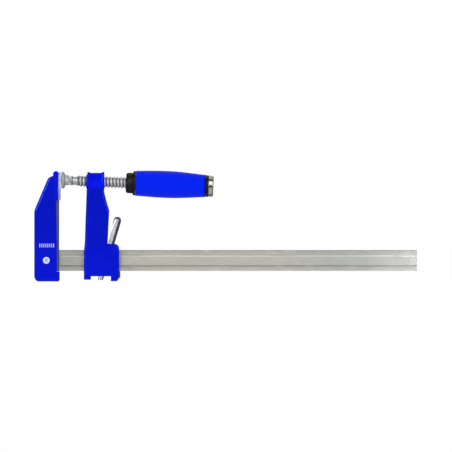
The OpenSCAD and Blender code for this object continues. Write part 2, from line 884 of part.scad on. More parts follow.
module spindle() {
    neck_start = ball_centre + sqrt(pow(ball_radius, 2) - pow(ball_neck_radius, 2));
    color([0.75, 0.75, 0.76])
        difference() {
            union() {
                thread_frame(thread_start)
                    screw(thread_end - thread_start, thread_root_radius, thread_radius, 0.26, 0.2, 18, 12);
                on_spindle() {
                    translate([ball_centre, 0, 0])
                        sphere(r = ball_radius);
                    turned([
                        [0, neck_start - 0.5], [ball_neck_radius, neck_start - 0.5],
                        [ball_neck_radius, collar_start], [collar_radius, collar_start],
                        [collar_radius, ring_start], [ring_groove_radius, ring_start],
                        [ring_groove_radius, ring_end], [shank_radius, ring_end],
                        [shank_radius, tang_end], [0, tang_end]
                    ]);
                }
            }
            on_spindle()
                cross_rod(handle_pin_place, 0, handle_pin_radius + seat_gap / 2, 3 * shank_radius);
        }
}

module spindle_nut() {
    start = head_front + slider_sheet;
    length = head_far - head_front - 2 * slider_sheet;
    edge = 1.5;
    half = nut_width / 2;
    high = nut_height / 2;
    color([0.55, 0.53, 0.48])
        difference() {
            run_along_x(start + seat_gap, length - 2 * seat_gap)
                translate([0, head_axis_z])
                    polygon([
                        [-half, -high], [half, -high], [half, high - edge], [half - edge, high],
                        [-half + edge, high], [-half, high - edge]
                    ]);
            thread_frame(start - beyond)
                screw(
                    length + 2 * beyond, thread_root_radius + thread_gap,
                    thread_radius + thread_gap, 0.36, 0.2, 24, 18
                );
        }
}

// ---- Handle ----

// The grip's radius at a share of its length: a quick swell, a full middle and a slow taper
function grip_radius(share) =
    share < 0.45
    ? grip_front_radius + (grip_full_radius - grip_front_radius) * sin(90 * share / 0.45)
    : grip_rear_radius + (grip_full_radius - grip_rear_radius)
        * (0.5 + 0.5 * cos(180 * pow((share - 0.45) / 0.55, 1.25)));

module handle_core() {
    r = handle_collar_radius;
    soft = 2;
    bore = shank_radius + seat_gap;
    thread_bore = thread_radius + seat_gap;
    color([0.07, 0.07, 0.08])
        on_spindle()
            difference() {
                turned(concat(
                    [[bore, handle_start]],
                    [for (p = arc(r - soft, -soft, soft, 90, 0, 6)) [p[0], handle_start - p[1]]],
                    [
                        [r, flare_start], [flare_radius, flare_start + 0.4],
                        [flare_radius, grip_start], [core_radius, grip_start],
                        [core_radius, grip_end], [rear_ring_radius, grip_end],
                        [rear_ring_radius, handle_end], [core_radius, handle_end],
                        [core_radius, tang_end + 2], [bore, tang_end + 2]
                    ]
                ));
                rod(handle_start - beyond, thread_end + 0.5, thread_bore);
                cross_rod(handle_pin_place, 0, handle_pin_radius + seat_gap / 2, 3 * core_radius);
            }
}

module handle_grip() {
    steps = 24;
    bore = core_radius + seat_gap / 2;
    start = grip_start + seat_gap / 2;
    length = grip_length - seat_gap;
    color([0.04, 0.12, 0.88])
        on_spindle()
            turned(concat(
                [[bore, start + length], [bore, start]],
                [for (i = [0 : steps]) [grip_radius(i / steps), start + length * i / steps]]
            ));
}

module handle_end_cap() {
    start = handle_end + seat_gap / 2;
    end = start + cap_length;
    plug = core_radius - seat_gap;
    color([0.72, 0.7, 0.64])
        on_spindle()
            turned(concat(
                [[0, tang_end + 2.4], [plug, tang_end + 2.4], [plug, start], [cap_radius, start]],
                arc(cap_radius - cap_edge, end - cap_edge, cap_edge, 0, 90, 8),
                [[0, end]]
            ));
}

module handle_pin() {
    color([0.6, 0.6, 0.62])
        on_spindle()
            cross_rod(handle_pin_place, 0, handle_pin_radius, 2 * core_radius - 0.4);
}

bar();
fixed_jaw_shell();
fixed_jaw_liner();
fixed_jaw_rivet();
fixed_jaw_pad();
sliding_jaw_shell();
spindle_nut();
near_bar_guide();
far_bar_guide();
clutch_fulcrum_pin();
clutch_spring();
release_lever();
clutch_plate_front();
clutch_plate_rear();
pad_retaining_ring();
swivel_pad_disc();
swivel_pad_socket();
spindle();
handle_core();
handle_grip();
handle_end_cap();
handle_pin();
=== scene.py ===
"""Looks for the quick release bar clamp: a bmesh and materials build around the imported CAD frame.

All sizes are in millimetres in the frame of the CAD model: +X along the bar away from the fixed
jaw, +Z from the bar up to the spindle, and the origin at the fixed jaw's clamping face. Meshes are
built in millimetres and scaled to metres as they are settled.
"""

import logging
import math
from dataclasses import dataclass, replace
from enum import Enum
from typing import Dict, Iterable, List, Optional, Sequence, Tuple, Union

import bmesh
import bpy
from bmesh.types import BMEdge, BMFace, BMVert, BMesh
from mathutils import Matrix, Vector


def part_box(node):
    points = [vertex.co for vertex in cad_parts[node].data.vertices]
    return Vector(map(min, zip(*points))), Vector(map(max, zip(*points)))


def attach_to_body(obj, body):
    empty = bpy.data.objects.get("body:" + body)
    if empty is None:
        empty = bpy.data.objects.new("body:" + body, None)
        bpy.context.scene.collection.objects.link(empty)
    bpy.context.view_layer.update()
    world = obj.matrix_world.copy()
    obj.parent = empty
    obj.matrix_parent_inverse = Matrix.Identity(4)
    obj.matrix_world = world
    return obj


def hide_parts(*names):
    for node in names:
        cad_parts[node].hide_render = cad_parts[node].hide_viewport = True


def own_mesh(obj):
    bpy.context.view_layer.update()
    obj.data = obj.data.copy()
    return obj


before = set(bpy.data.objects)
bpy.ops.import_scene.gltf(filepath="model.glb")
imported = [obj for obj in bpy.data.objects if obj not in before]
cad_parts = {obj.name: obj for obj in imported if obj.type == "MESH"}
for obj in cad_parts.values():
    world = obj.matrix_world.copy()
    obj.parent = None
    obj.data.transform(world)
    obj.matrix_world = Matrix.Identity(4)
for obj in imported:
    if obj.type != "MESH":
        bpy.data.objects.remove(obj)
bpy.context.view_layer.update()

LOG = logging.getLogger("bar_clamp")
MM = 0.001  # in metres
LEAN = math.radians(2.3)  # the spindle, from level
CLUTCH_LEAN = math.radians(16.5)  # the clutch, from upright

Flat = Tuple[float, float]
Pair = Tuple[float, float]
Triple = Tuple[float, float, float]
Socket = bpy.types.NodeSocket
Value = Union[Socket, float, Sequence[float]]

BLACK: Triple = (0.0, 0.0, 0.0)
WHITE: Triple = (1.0, 1.0, 1.0)


class Body(Enum):
    """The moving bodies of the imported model."""

    FRAME = "frame"
    SLIDER = "sliding_jaw"
    LEVER = "lever"
    FRONT_PLATE = "front_plate"
    REAR_PLATE = "rear_plate"
    FEED = "feed"
    SWIVEL = "swivel_pad"
    SCREW = "screw"


class Slot(Enum):
    """The record's material slots."""

    BAR = "bar_steel"
    ENAMEL = "jaw_enamel"
    ZINC_SHEET = "zinc_sheet"
    RIVET = "rivet_steel"
    GUIDE = "guide_steel"
    CLUTCH = "clutch_steel"
    LEVER = "lever_zinc"
    SPRING = "spring_wire"
    RING = "ring_black"
    PAD = "pad_zinc"
    THREAD = "thread_steel"
    NUT = "nut_steel"
    BLACK = "black_plastic"
    GRIP = "grip_blue"
    CAP = "cap_steel"


class Grain(Enum):
    """Surface patterns, each with the stretch of its noise along X, Y and Z."""

    ROLLED = (0.06, 1.0, 1.0)
    BRUSHED = (1.0, 1.0, 0.08)
    TURNED = (1.0, 0.12, 0.12)
    TUMBLED = (1.0, 1.0, 1.0)
    PEEL = (0.8, 0.8, 0.8)
    MOULDED = (1.3, 1.3, 1.3)


# ---- Materials ----


class Graph:
    """A short way to write a node tree."""

    def __init__(self, tree: bpy.types.NodeTree) -> None:
        """Empties the tree, to be filled anew."""
        self.tree = tree
        tree.nodes.clear()

    def fill(self, node: bpy.types.Node, inputs: Dict[Union[str, int], Value]) -> None:
        """Sets a node's inputs, by name or number, to values or links them to sockets."""
        for key, value in inputs.items():
            if isinstance(value, bpy.types.NodeSocket):
                self.tree.links.new(value, node.inputs[key])
            else:
                node.inputs[key].default_value = value

    def add(self, kind: str, inputs: Optional[Dict[Union[str, int], Value]] = None,
            **settings: object) -> bpy.types.Node:
        """Adds a node.

        Args:
            kind: the node's type.
            inputs: values or sockets for its inputs, by name or number.
            settings: the node's own properties.

        Returns:
            The node.
        """
        node = self.tree.nodes.new(kind)
        for key, value in settings.items():
            setattr(node, key, value)
        self.fill(node, inputs or {})
        return node

    def ramp(self, source: Socket, stops: Sequence[Tuple[float, Sequence[float]]]) -> Socket:
        """A colour ramp over a value.

        Args:
            source: the value that runs along the ramp.
            stops: positions with their colours of three parts.

        Returns:
            The ramp's colour socket.
        """
        ramp = self.add("ShaderNodeValToRGB", {"Fac": source})
        elements = ramp.color_ramp.elements
        while len(elements) < len(stops):
            elements.new(0.5)
        for element, (place, colour) in zip(elements, stops):
            element.position, element.color = place, (*colour, 1.0)
        return ramp.outputs["Color"]

    def span(self, source: Socket, start: float, end: float, low: float = 0.0, high: float = 1.0,
             kind: str = "LINEAR") -> Socket:
        """Maps a value from start..end to low..high, in a straight line or a soft step."""
        inputs = {"Value": source, "From Min": start, "From Max": end, "To Min": low, "To Max": high}
        return self.add("ShaderNodeMapRange", inputs, interpolation_type=kind).outputs["Result"]

    def mix(self, factor: Value, first: Value, second: Value, blend: str = "MIX") -> Socket:
        """Mixes two colours, each a socket or a plain colour, by a value."""
        first, second = (c if isinstance(c, bpy.types.NodeSocket) else (*c, 1.0) for c in (first, second))
        return self.add("ShaderNodeMix", {"Factor": factor, 6: first, 7: second}, data_type="RGBA",
                        blend_type=blend).outputs[2]

    def math(self, operation: str, first: Socket, second: Value = 0.0) -> Socket:
        """Puts one or two values through an operation."""
        return self.add("ShaderNodeMath", {0: first, 1: second}, operation=operation).outputs["Value"]

    def times(self, first: Socket, *others: Value) -> Socket:
        """Multiplies values."""
        for other in others:
            first = self.math("MULTIPLY", first, other)
        return first


class Paint(Graph):
    """A material's node tree, with one Principled shader."""

    def __init__(self, name: str) -> None:
        """Starts an empty material of that name."""
        self.material = bpy.data.materials.new(name)
        self.material.use_nodes = True
        super().__init__(self.material.node_tree)
        self.shader = self.add("ShaderNodeBsdfPrincipled")
        self.add("ShaderNodeOutputMaterial", {"Surface": self.shader.outputs["BSDF"]})
        self.coordinates = self.add("ShaderNodeTexCoord").outputs["Object"]

    def noise(self, stretch: Triple, scale: float, detail: float = 3.0) -> Socket:
        """Stretched noise on object coordinates.

        Args:
            stretch: factors on the coordinates along X, Y and Z.
            scale: the noise's scale, per metre.
            detail: how many finer layers it has.

        Returns:
            The noise's value socket.
        """
        mapping = self.add("ShaderNodeMapping", {"Vector": self.coordinates, "Scale": stretch})
        return self.add("ShaderNodeTexNoise", {"Vector": mapping.outputs["Vector"], "Scale": scale,
                                               "Detail": detail}).outputs["Fac"]

    def shade_by(self, colour: Socket, axis: str, stops: Sequence[Tuple[float, Sequence[float]]]) -> Socket:
        """Darkens and brightens a colour by its place along one axis.

        Args:
            colour: the colour to change.
            axis: "X" or "Z".
            stops: places in millimetres with what the colour is multiplied by.

        Returns:
            The shaded colour.
        """
        low, high = stops[0][0], stops[-1][0]
        parts = self.add("ShaderNodeSeparateXYZ", {"Vector": self.coordinates})
        place = self.span(parts.outputs[axis], low * MM, high * MM)
        shade = self.ramp(place, [((at - low) / (high - low), value) for at, value in stops])
        return self.mix(1.0, colour, shade, "MULTIPLY")


@dataclass(frozen=True)
class Finish:
    """One surface finish.

    Attributes:
        dark, light: the colours that the grain runs between.
        rough: the lowest and highest roughness.
        grain, grain_scale, grain_depth: the surface pattern, its scale per metre and its depth in mm.
        stain, stain_scale: a colour for stained patches, and their scale per metre.
        along, stripes: what the colour is multiplied by at places along X and up Z, in mm; mostly painted
            light and shade.
        painted_root_shade: the colour at the bottom of a mesh's height attribute, painted shade in the
            hollows.
    """

    name: str
    dark: Triple
    light: Triple
    rough: Pair
    grain: Grain
    grain_scale: float
    grain_depth: float
    metallic: float = 0.0
    specular: float = 0.5
    tint: Triple = (1.0, 1.0, 1.0)
    stain: Optional[Triple] = None
    stain_scale: float = 45.0
    along: Tuple[Tuple[float, Triple], ...] = ()
    painted_root_shade: Optional[Triple] = None
    stripes: Tuple[Pair, ...] = ()
    ior: float = 1.5
    glow: float = 0.0

    def material(self) -> bpy.types.Material:
        """The finish as a material, made once."""
        made = bpy.data.materials.get(self.name)
        if made:
            return made
        paint = Paint(self.name)
        grain = paint.noise(self.grain.value, self.grain_scale)
        colour = paint.ramp(grain, [(0.3, self.dark), (0.7, self.light)])
        if self.along:
            colour = paint.shade_by(colour, "X", self.along)
        if self.stripes:
            colour = paint.shade_by(colour, "Z", [(z, (grey,) * 3) for z, grey in self.stripes])
        if self.stain is not None:
            patches = paint.noise((1.0, 1.0, 1.0), self.stain_scale, 5.0)
            colour = paint.mix(paint.ramp(patches, [(0.52, BLACK), (0.78, WHITE)]), colour, self.stain)
        # Painted shade in the hollows: the colour darkens towards the bottom of the height attribute.
        if self.painted_root_shade is not None:
            height = paint.add("ShaderNodeAttribute", attribute_name="height").outputs["Fac"]
            raised = paint.ramp(height, [(0.02, BLACK), (0.3, WHITE)])
            colour = paint.mix(raised, self.painted_root_shade, colour)
        gloss = paint.noise(self.grain.value, self.grain_scale * 0.45, 4.0)
        depth = self.grain_depth * MM
        bump = paint.add("ShaderNodeBump", {"Height": grain, "Distance": depth, "Strength": 1.0})
        paint.fill(paint.shader, {
            "Base Color": colour, "Roughness": paint.span(gloss, 0.0, 1.0, *self.rough),
            "Normal": bump.outputs["Normal"], "Metallic": self.metallic, "Specular IOR Level": self.specular,
            "Specular Tint": (*self.tint, 1.0), "IOR": self.ior,
            "Emission Color": (*WHITE, 1.0), "Emission Strength": self.glow})
        return paint.material


# Painted shade in the enamel's stripes: a dark band along the bottom folds, and 10 to 16 per cent darker from
# Z -62 mm up than on the foot and housing below.
ENAMEL = Finish(
    "blue_enamel", (0.0013, 0.0046, 0.535), (0.0018, 0.0060, 0.60), (0.12, 0.18), Grain.PEEL, 700.0, 0.006,
    specular=1.0, tint=(0.05, 0.12, 1.0), stain=(0.0012, 0.0042, 0.505), ior=1.8, stripes=((-104.0, 0.6),
    (-102.8, 0.7), (-101.8, 1.0), (-72.0, 1.0), (-62.0, 0.86), (-14.0, 0.84), (-6.0, 0.88), (5.0, 0.9)))
# Painted light on the head: its stripes brighten a band round the lower half, by up to a third, and faintly
# near the top.
HEAD_PAINTED_LIGHT_ENAMEL = replace(
    ENAMEL, name="head_painted_light_enamel", specular=0.2, stripes=((-9.0, 1.0), (-8.0, 1.0), (-6.8, 1.2), (-2.0, 1.34),
    (-1.2, 1.12), (2.0, 1.04), (5.5, 1.08), (8.6, 1.0)))
# Painted light on the nose: its stripes brighten it towards the top, by up to a fifth.
NOSE_PAINTED_LIGHT_ENAMEL = replace(
    ENAMEL, name="nose_painted_light_enamel", stripes=((-20.2, 1.0), (-9.0, 1.05), (0.0, 1.16), (9.4, 1.2)))
# A dark, greyer copy of the enamel for the tab under the housing: painted shade.
TAB_PAINTED_SHADE_ENAMEL = Finish(
    "shaded_tab_enamel", (0.022, 0.030, 0.12), (0.030, 0.038, 0.155), (0.35, 0.45), Grain.PEEL, 700.0,
    0.01, specular=0.5, tint=(0.4, 0.5, 1.0))
# Painted shade: the grip's along stops darken its rear end from X 145.4 mm to the ring.
GRIP_BLUE = Finish(
    "moulded_blue_grip", (0.0016, 0.0105, 0.66), (0.0020, 0.0140, 0.76), (0.34, 0.44), Grain.MOULDED,
    2600.0, 0.012, specular=0.12, tint=(0.0, 0.3, 1.0), along=((0.0, (1.0, 1.0, 1.0)),
    (145.4, (1.0, 1.0, 1.0)), (146.6, (0.9, 0.6, 0.5)), (147.6, (0.8, 0.3, 0.22)),
    (148.2, (0.7, 0.2, 0.12))))
# Painted light and shade on the bar: its stripes give a bright line at the upper recess edge and a lighter
# bottom edge (painted highlight), and a dark line at the lower recess edge and a darker top edge (painted
# shade); its along stops darken it near the jaws (painted shadow) and lighten it towards the far end (painted
# light).
BAR_STEEL = Finish(
    "rolled_bar_steel", (0.61, 0.60, 0.54), (0.725, 0.715, 0.64), (0.38, 0.52), Grain.ROLLED, 1300.0, 0.01,
    metallic=0.6, stain=(0.54, 0.53, 0.47), stripes=((-92.4, 0.93), (-91.7, 0.85), (-90.9, 0.73),
    (-88.6, 0.69), (-88.2, 0.62), (-87.9, 0.44), (-87.2, 0.44), (-86.8, 0.7), (-86.0, 0.74), (-78.0, 0.74),
    (-77.5, 1.22), (-76.7, 1.22), (-76.2, 0.7), (-72.8, 0.66), (-72.1, 0.56), (-71.3, 0.46)),
    along=((0.0, (0.76, 0.79, 0.76)), (58.0, (0.85, 0.87, 0.85)), (95.0, (0.97, 0.97, 0.93)),
    (200.0, (1.0, 1.0, 1.0)), (270.0, (0.93, 0.97, 1.0)), (310.0, (1.0, 1.04, 1.11)),
    (366.0, (1.46, 1.48, 1.62))))
# The zinc sheet's stripes make the pad about half as bright again above Z -8.5 mm as below Z -10.5 mm.
ZINC_SHEET = Finish(
    "zinc_plated_sheet", (0.35, 0.385, 0.50), (0.455, 0.49, 0.61), (0.3, 0.42), Grain.BRUSHED, 1500.0,
    0.008, metallic=0.7, stripes=((-22.0, 0.96), (-10.5, 0.96), (-8.5, 1.5), (9.5, 1.5)))
# A darker, bluer copy of the zinc sheet for the liner's strip down its recess: painted shade.
LINER_PAINTED_SHADE_ZINC = Finish(
    "inner_channel_painted_shade", (0.075, 0.095, 0.23), (0.108, 0.132, 0.30), (0.4, 0.52), Grain.BRUSHED, 1500.0,
    0.008, metallic=0.6)
# The rivet heads' rim is a light, blue-tinted copy of the rivet steel: a painted highlight with the jaw's
# blue reflected in it.
RIVET_RIM_PAINTED_HIGHLIGHT = Finish(
    "rivet_rim_painted_highlight", (0.55, 0.62, 0.97), (0.64, 0.71, 1.0), (0.3, 0.42), Grain.TUMBLED, 1200.0, 0.01,
    metallic=0.1)
RIVET_STEEL = Finish(
    "rivet_centre_steel", (0.36, 0.345, 0.41), (0.45, 0.43, 0.485), (0.3, 0.42), Grain.TUMBLED, 1200.0,
    0.01, metallic=0.35)
GUIDE_STEEL = Finish(
    "machined_guide", (0.3, 0.3, 0.32), (0.42, 0.42, 0.44), (0.35, 0.5), Grain.BRUSHED, 1200.0, 0.01,
    metallic=0.9)
CLUTCH_STEEL = Finish(
    "ground_clutch_plate", (0.15, 0.155, 0.20), (0.22, 0.225, 0.28), (0.3, 0.42), Grain.BRUSHED, 1600.0,
    0.008, metallic=0.6)
LEVER_ZINC = Finish(
    "bright_lever", (0.61, 0.635, 0.655), (0.75, 0.775, 0.785), (0.24, 0.36), Grain.BRUSHED, 1100.0, 0.008,
    metallic=0.55)
# A dark copy of the lever's zinc for its plate and the blade's back and top: painted shade.
LEVER_PAINTED_SHADE = Finish(
    "lever_back_painted_shade", (0.058, 0.056, 0.10), (0.10, 0.098, 0.155), (0.28, 0.4), Grain.BRUSHED, 1100.0,
    0.008, metallic=0.6)
SPRING_STEEL = Finish(
    "drawn_wire", (0.4, 0.4, 0.42), (0.55, 0.55, 0.57), (0.25, 0.35), Grain.TUMBLED, 1500.0, 0.004,
    metallic=0.95)
RING_STEEL = Finish(
    "oiled_spring_ring", (0.22, 0.23, 0.235), (0.30, 0.31, 0.315), (0.3, 0.42), Grain.TUMBLED, 1500.0,
    0.006, metallic=0.6)
PAD_ZINC = Finish(
    "tumbled_zinc", (0.305, 0.325, 0.32), (0.43, 0.45, 0.445), (0.42, 0.55), Grain.TUMBLED, 900.0, 0.03,
    metallic=0.45, stain=(0.26, 0.28, 0.27), stain_scale=160.0)
# The cup is a lighter copy of the pad's zinc: painted light.
CUP_ZINC = replace(PAD_ZINC, name="cup_zinc_painted_light", dark=(0.40, 0.42, 0.415), light=(0.56, 0.58, 0.575))
THREAD_STEEL = Finish(
    "plated_thread", (0.53, 0.54, 0.55), (0.66, 0.67, 0.68), (0.32, 0.42), Grain.TURNED, 1300.0, 0.008,
    metallic=0.8)
# The thread darkens towards its roots: painted shade between the crests.
RIDGED_STEEL = Finish(
    "rolled_thread", (0.60, 0.61, 0.61), (0.74, 0.75, 0.75), (0.32, 0.42), Grain.TURNED, 1300.0, 0.008,
    metallic=0.6, painted_root_shade=(0.10, 0.105, 0.10))
NUT_STEEL = Finish(
    "tapped_nut", (0.34, 0.33, 0.3), (0.46, 0.45, 0.41), (0.35, 0.48), Grain.TUMBLED, 1200.0, 0.01,
    metallic=0.9)
BLACK_PLASTIC = Finish(
    "black_moulding", (0.0036, 0.0034, 0.0052), (0.0065, 0.0062, 0.0088), (0.34, 0.46), Grain.MOULDED,
    2600.0, 0.015, specular=0.25)
CAP_STEEL = Finish(
    "polished_cap", (0.62, 0.59, 0.50), (0.70, 0.67, 0.58), (0.1, 0.17), Grain.TURNED, 900.0, 0.003,
    metallic=1.0)
MARK_PAINT = Finish(
    "mark_paint", (0.80, 0.86, 0.97), (0.88, 0.92, 1.0), (0.5, 0.6), Grain.TUMBLED, 1500.0, 0.004)
FLOOR_PAINT = Finish(
    "pale_floor", (0.84, 0.84, 0.835), (0.86, 0.86, 0.855), (0.75, 0.85), Grain.TUMBLED, 40.0, 0.02,
    specular=0.2, glow=0.45)


# ---- Shapes ----


def arc(centre: Flat, radius: float, start: float, end: float, steps: int = 8) -> List[Flat]:
    """Points of an arc, from one angle to another in degrees."""
    angles = [math.radians(start + (end - start) * i / steps) for i in range(steps + 1)]
    return [(centre[0] + radius * math.cos(a), centre[1] + radius * math.sin(a)) for a in angles]


def inset(points: Sequence[Flat], distance: float) -> List[Flat]:
    """An anticlockwise outline moved inwards by a distance."""
    moved = []
    for i, here in enumerate(points):
        before, after = points[i - 1], points[(i + 1) % len(points)]
        u = Vector((here[0] - before[0], here[1] - before[1])).normalized()
        v = Vector((after[0] - here[0], after[1] - here[1])).normalized()
        along = max(0.2, 1 + u.dot(v))
        moved.append((here[0] - distance * (u.y + v.y) / along, here[1] + distance * (u.x + v.x) / along))
    return moved


def fillet(points: Sequence[Flat], radii: Dict[int, float], steps: int = 5,
           closed: bool = True) -> List[Flat]:
    """Rounds the named corners of an outline or profile.

    Args:
        points: the corners in order.
        radii: radius for each corner to round, by its index.
        steps: segments in each rounding.
        closed: whether the last corner joins the first.

    Returns:
        The points with each named corner replaced by an arc.
    """
    result: List[Flat] = []
    last = len(points) - 1
    for i, here in enumerate(points):
        radius = radii.get(i, 0.0)
        if radius <= 0 or (not closed and i in (0, last)):
            result.append(here)
            continue
        p = Vector(here)
        u = (Vector(points[i - 1]) - p).normalized()
        v = (Vector(points[(i + 1) % len(points)]) - p).normalized()
        half = u.angle(v) / 2
        reach = radius / math.tan(half)
        centre = p + (u + v).normalized() * radius / math.sin(half)
        first, second = p + u * reach - centre, p + v * reach - centre
        for k in range(steps + 1):
            spoke = first.slerp(second, k / steps) * radius
            result.append((centre.x + spoke.x, centre.y + spoke.y))
    return result


def shift(bm: BMesh, vec: Triple, verts: Optional[Sequence[BMVert]] = None) -> BMesh:
    """Moves a mesh, or some of its vertices."""
    bmesh.ops.translate(bm, verts=bm.verts if verts is None else verts, vec=vec)
    return bm


def turn(bm: BMesh, angle: float, axis: str) -> BMesh:
    """Turns a mesh about an axis through the origin."""
    bmesh.ops.rotate(bm, verts=bm.verts, cent=(0, 0, 0), matrix=Matrix.Rotation(angle, 3, axis))
    return bm


def new_verts(result: Dict[str, list]) -> List[BMVert]:
    """The vertices that an extrusion made."""
    return [g for g in result["geom"] if isinstance(g, BMVert)]


def extrude(bm: BMesh, faces: Sequence[BMFace], vec: Triple) -> List[BMVert]:
    """Extrudes faces into a solid, and gives the new vertices."""
    moved = new_verts(bmesh.ops.extrude_face_region(bm, geom=faces))
    shift(bm, vec, moved)
    bmesh.ops.recalc_face_normals(bm, faces=bm.faces)
    return moved


def loop(bm: BMesh, points: Iterable[Sequence[float]], closed: bool = True) -> List[BMEdge]:
    """New edges through points, closed to a ring or open."""
    verts = [bm.verts.new(point) for point in points]
    return [bm.edges.new(pair) for pair in zip(verts, verts[1:] + (verts[:1] if closed else []))]


def parts_of(items: Iterable[Union[BMEdge, BMFace]]) -> list:
    """Edges or faces together with all their edges and vertices."""
    items = list(items)
    edges = [e for f in items for e in getattr(f, "edges", ())]
    return list(dict.fromkeys([*items, *edges, *(v for i in items for v in i.verts)]))


def cut(bm: BMesh, faces: Iterable[BMFace], place: Triple, way: Triple, clear: bool = False) -> None:
    """Cuts faces along a plane, and clears what lies beyond it where asked."""
    bmesh.ops.bisect_plane(bm, geom=parts_of(faces), plane_co=place, plane_no=way, clear_outer=clear)


def fill_between(bm: BMesh, edges: Sequence[BMEdge], normal: Triple) -> None:
    """Fills the flat area between closed rings of edges."""
    bmesh.ops.triangle_fill(bm, edges=edges, use_beauty=True, use_dissolve=False, normal=normal)


def spin(bm: BMesh, geom: list, angle: float, steps: int, run: float = 0.0, merge: bool = False) -> list:
    """Spins edges about the X axis.

    Args:
        bm: the mesh.
        geom: the edges and vertices to spin.
        angle: how far, in radians.
        steps: how many steps that takes.
        run: the travel along X at each step.
        merge: whether the end joins the start.

    Returns:
        The geometry of the last step.
    """
    return bmesh.ops.spin(bm, geom=geom, cent=(0, 0, 0), axis=(1, 0, 0), dvec=(run, 0, 0), angle=angle,
                          steps=steps, use_merge=merge, use_duplicate=False)["geom_last"]


@dataclass
class Prism:
    """A closed solid that runs along Y, with its corner vertices kept for folding."""

    mesh: BMesh
    near: List[BMVert]
    far: List[BMVert]

    @classmethod
    def of(cls, outline: Sequence[Flat], width: float, mesh: Optional[BMesh] = None) -> "Prism":
        """Makes a prism about the middle plane.

        Args:
            outline: anticlockwise points in X and Z.
            width: size along Y.
            mesh: the mesh to add it to, or None for a new one.

        Returns:
            The prism.
        """
        bm = mesh or bmesh.new()
        near = [bm.verts.new((x, -width / 2, z)) for x, z in outline]
        moved = extrude(bm, [bm.faces.new(near)], (0, width, 0))
        far = [min(moved, key=lambda m, v=v: (m.co.x - v.co.x) ** 2 + (m.co.z - v.co.z) ** 2) for v in near]
        return cls(bm, near, far)

    def rim(self, indexes: Iterable[int]) -> List[BMEdge]:
        """The edges along both sides from each named corner to the next."""
        edges = []
        for i in indexes:
            k = (i + 1) % len(self.near)
            edges += [self.mesh.edges.get((self.near[i], self.near[k])),
                      self.mesh.edges.get((self.far[i], self.far[k]))]
        return [e for e in edges if e is not None]

    def corners(self, indexes: Iterable[int]) -> List[BMEdge]:
        """The edges across the width at the named corners."""
        edges = [self.mesh.edges.get((self.near[i], self.far[i])) for i in indexes]
        return [e for e in edges if e is not None]

    def open_walls(self, indexes: Iterable[int]) -> None:
        """Deletes the wall that follows each named corner."""
        walls = []
        for i in indexes:
            k = (i + 1) % len(self.near)
            corners = {self.near[i], self.near[k], self.far[k], self.far[i]}
            walls += [f for f in self.near[i].link_faces if set(f.verts) == corners]
        bmesh.ops.delete(self.mesh, geom=walls, context="FACES")


def round_edges(bm: BMesh, edges: Sequence[BMEdge], radius: float, segments: int = 4,
                limit: bool = True) -> None:
    """Rounds edges by the bevel operator, which may limit the radius to what short edges leave."""
    bmesh.ops.bevel(bm, geom=list(edges), offset=radius, offset_type="OFFSET", segments=segments,
                    profile=0.5, affect="EDGES", material=-1, clamp_overlap=limit, loop_slide=True)


def wide_faces(bm: BMesh, axis: int, least: float) -> List[BMFace]:
    """The flat faces that look along an axis and have at least that area."""
    return [f for f in bm.faces if abs(f.normal[axis]) > 0.999 and f.calc_area() > least]


@dataclass(frozen=True)
class Pressing:
    """A shape pressed into or out of a flat face: its outline and the steps of its wall."""

    outline: Sequence[Flat]
    steps: Sequence[Pair]

    @classmethod
    def panel(cls, outline: Sequence[Flat], depth: float, slope: float) -> "Pressing":
        """A shallow panel with a soft S-shaped wall, as deep as given."""
        shape = ((0.12, 0.04), (0.3, 0.2), (0.5, 0.5), (0.7, 0.8), (0.88, 0.96), (1.0, 1.0))
        return cls(outline, tuple((slope * a, depth * b) for a, b in shape))

    @classmethod
    def dot(cls, centre: Flat, radius: float, depth: float) -> "Pressing":
        """A round dimple, or a pip where the depth is negative."""
        ring = arc(centre, radius, 0, 360 - 22.5, 15)
        shape = ((0.15, 0.25), (0.4, 0.7), (0.7, 0.95), (0.9, 1.0))
        return cls(ring, tuple((radius * a, depth * b) for a, b in shape))


def press(bm: BMesh, face: BMFace, shapes: Sequence[Pressing]) -> None:
    """Presses shapes into a flat face that looks along -Y or +Y.

    Args:
        bm: the mesh.
        face: the face, which is filled again around the shapes.
        shapes: what to press into it.
    """
    y = face.verts[0].co.y
    side = 1.0 if face.normal.y > 0 else -1.0
    edges = list(face.edges)
    bmesh.ops.delete(bm, geom=[face], context="FACES_ONLY")
    rings = [loop(bm, ((x, y, z) for x, z in shape.outline)) for shape in shapes]
    fill_between(bm, edges + [e for ring in rings for e in ring], (0, side, 0))
    for shape, ring in zip(shapes, rings):
        inner = list(ring)
        verts = order_ring(ring, shape.outline)
        for distance, depth in shape.steps:
            new = new_verts(bmesh.ops.extrude_edge_only(bm, edges=inner))
            partner = {
                v: next(e.other_vert(v) for e in v.link_edges if e.other_vert(v) in new) for v in verts}
            for v, (x, z) in zip(verts, inset(shape.outline, distance)):
                partner[v].co = (x, y - side * depth, z)
            verts = [partner[v] for v in verts]
            inner = [bm.edges.get((a, b)) for a, b in zip(verts, verts[1:] + verts[:1])]
        bmesh.ops.contextual_create(bm, geom=inner)


def order_ring(ring: Sequence[BMEdge], outline: Sequence[Flat]) -> List[BMVert]:
    """The vertices of a closed ring in the order of the outline that made it."""
    verts = {v for e in ring for v in e.verts}
    return [min(verts, key=lambda v: (v.co.x - x) ** 2 + (v.co.z - z) ** 2) for x, z in outline]


def turned(profile: Sequence[Flat], steps: int = 96) -> BMesh:
    """A shape spun about the X axis from points of (place along X, radius)."""
    bm = bmesh.new()
    edges = loop(bm, ((x, 0, r) for x, r in profile), False)
    spin(bm, parts_of(edges), 2 * math.pi, steps, merge=True)
    bmesh.ops.remove_doubles(bm, verts=bm.verts, dist=0.002)
    bmesh.ops.recalc_face_normals(bm, faces=bm.faces)
    return bm


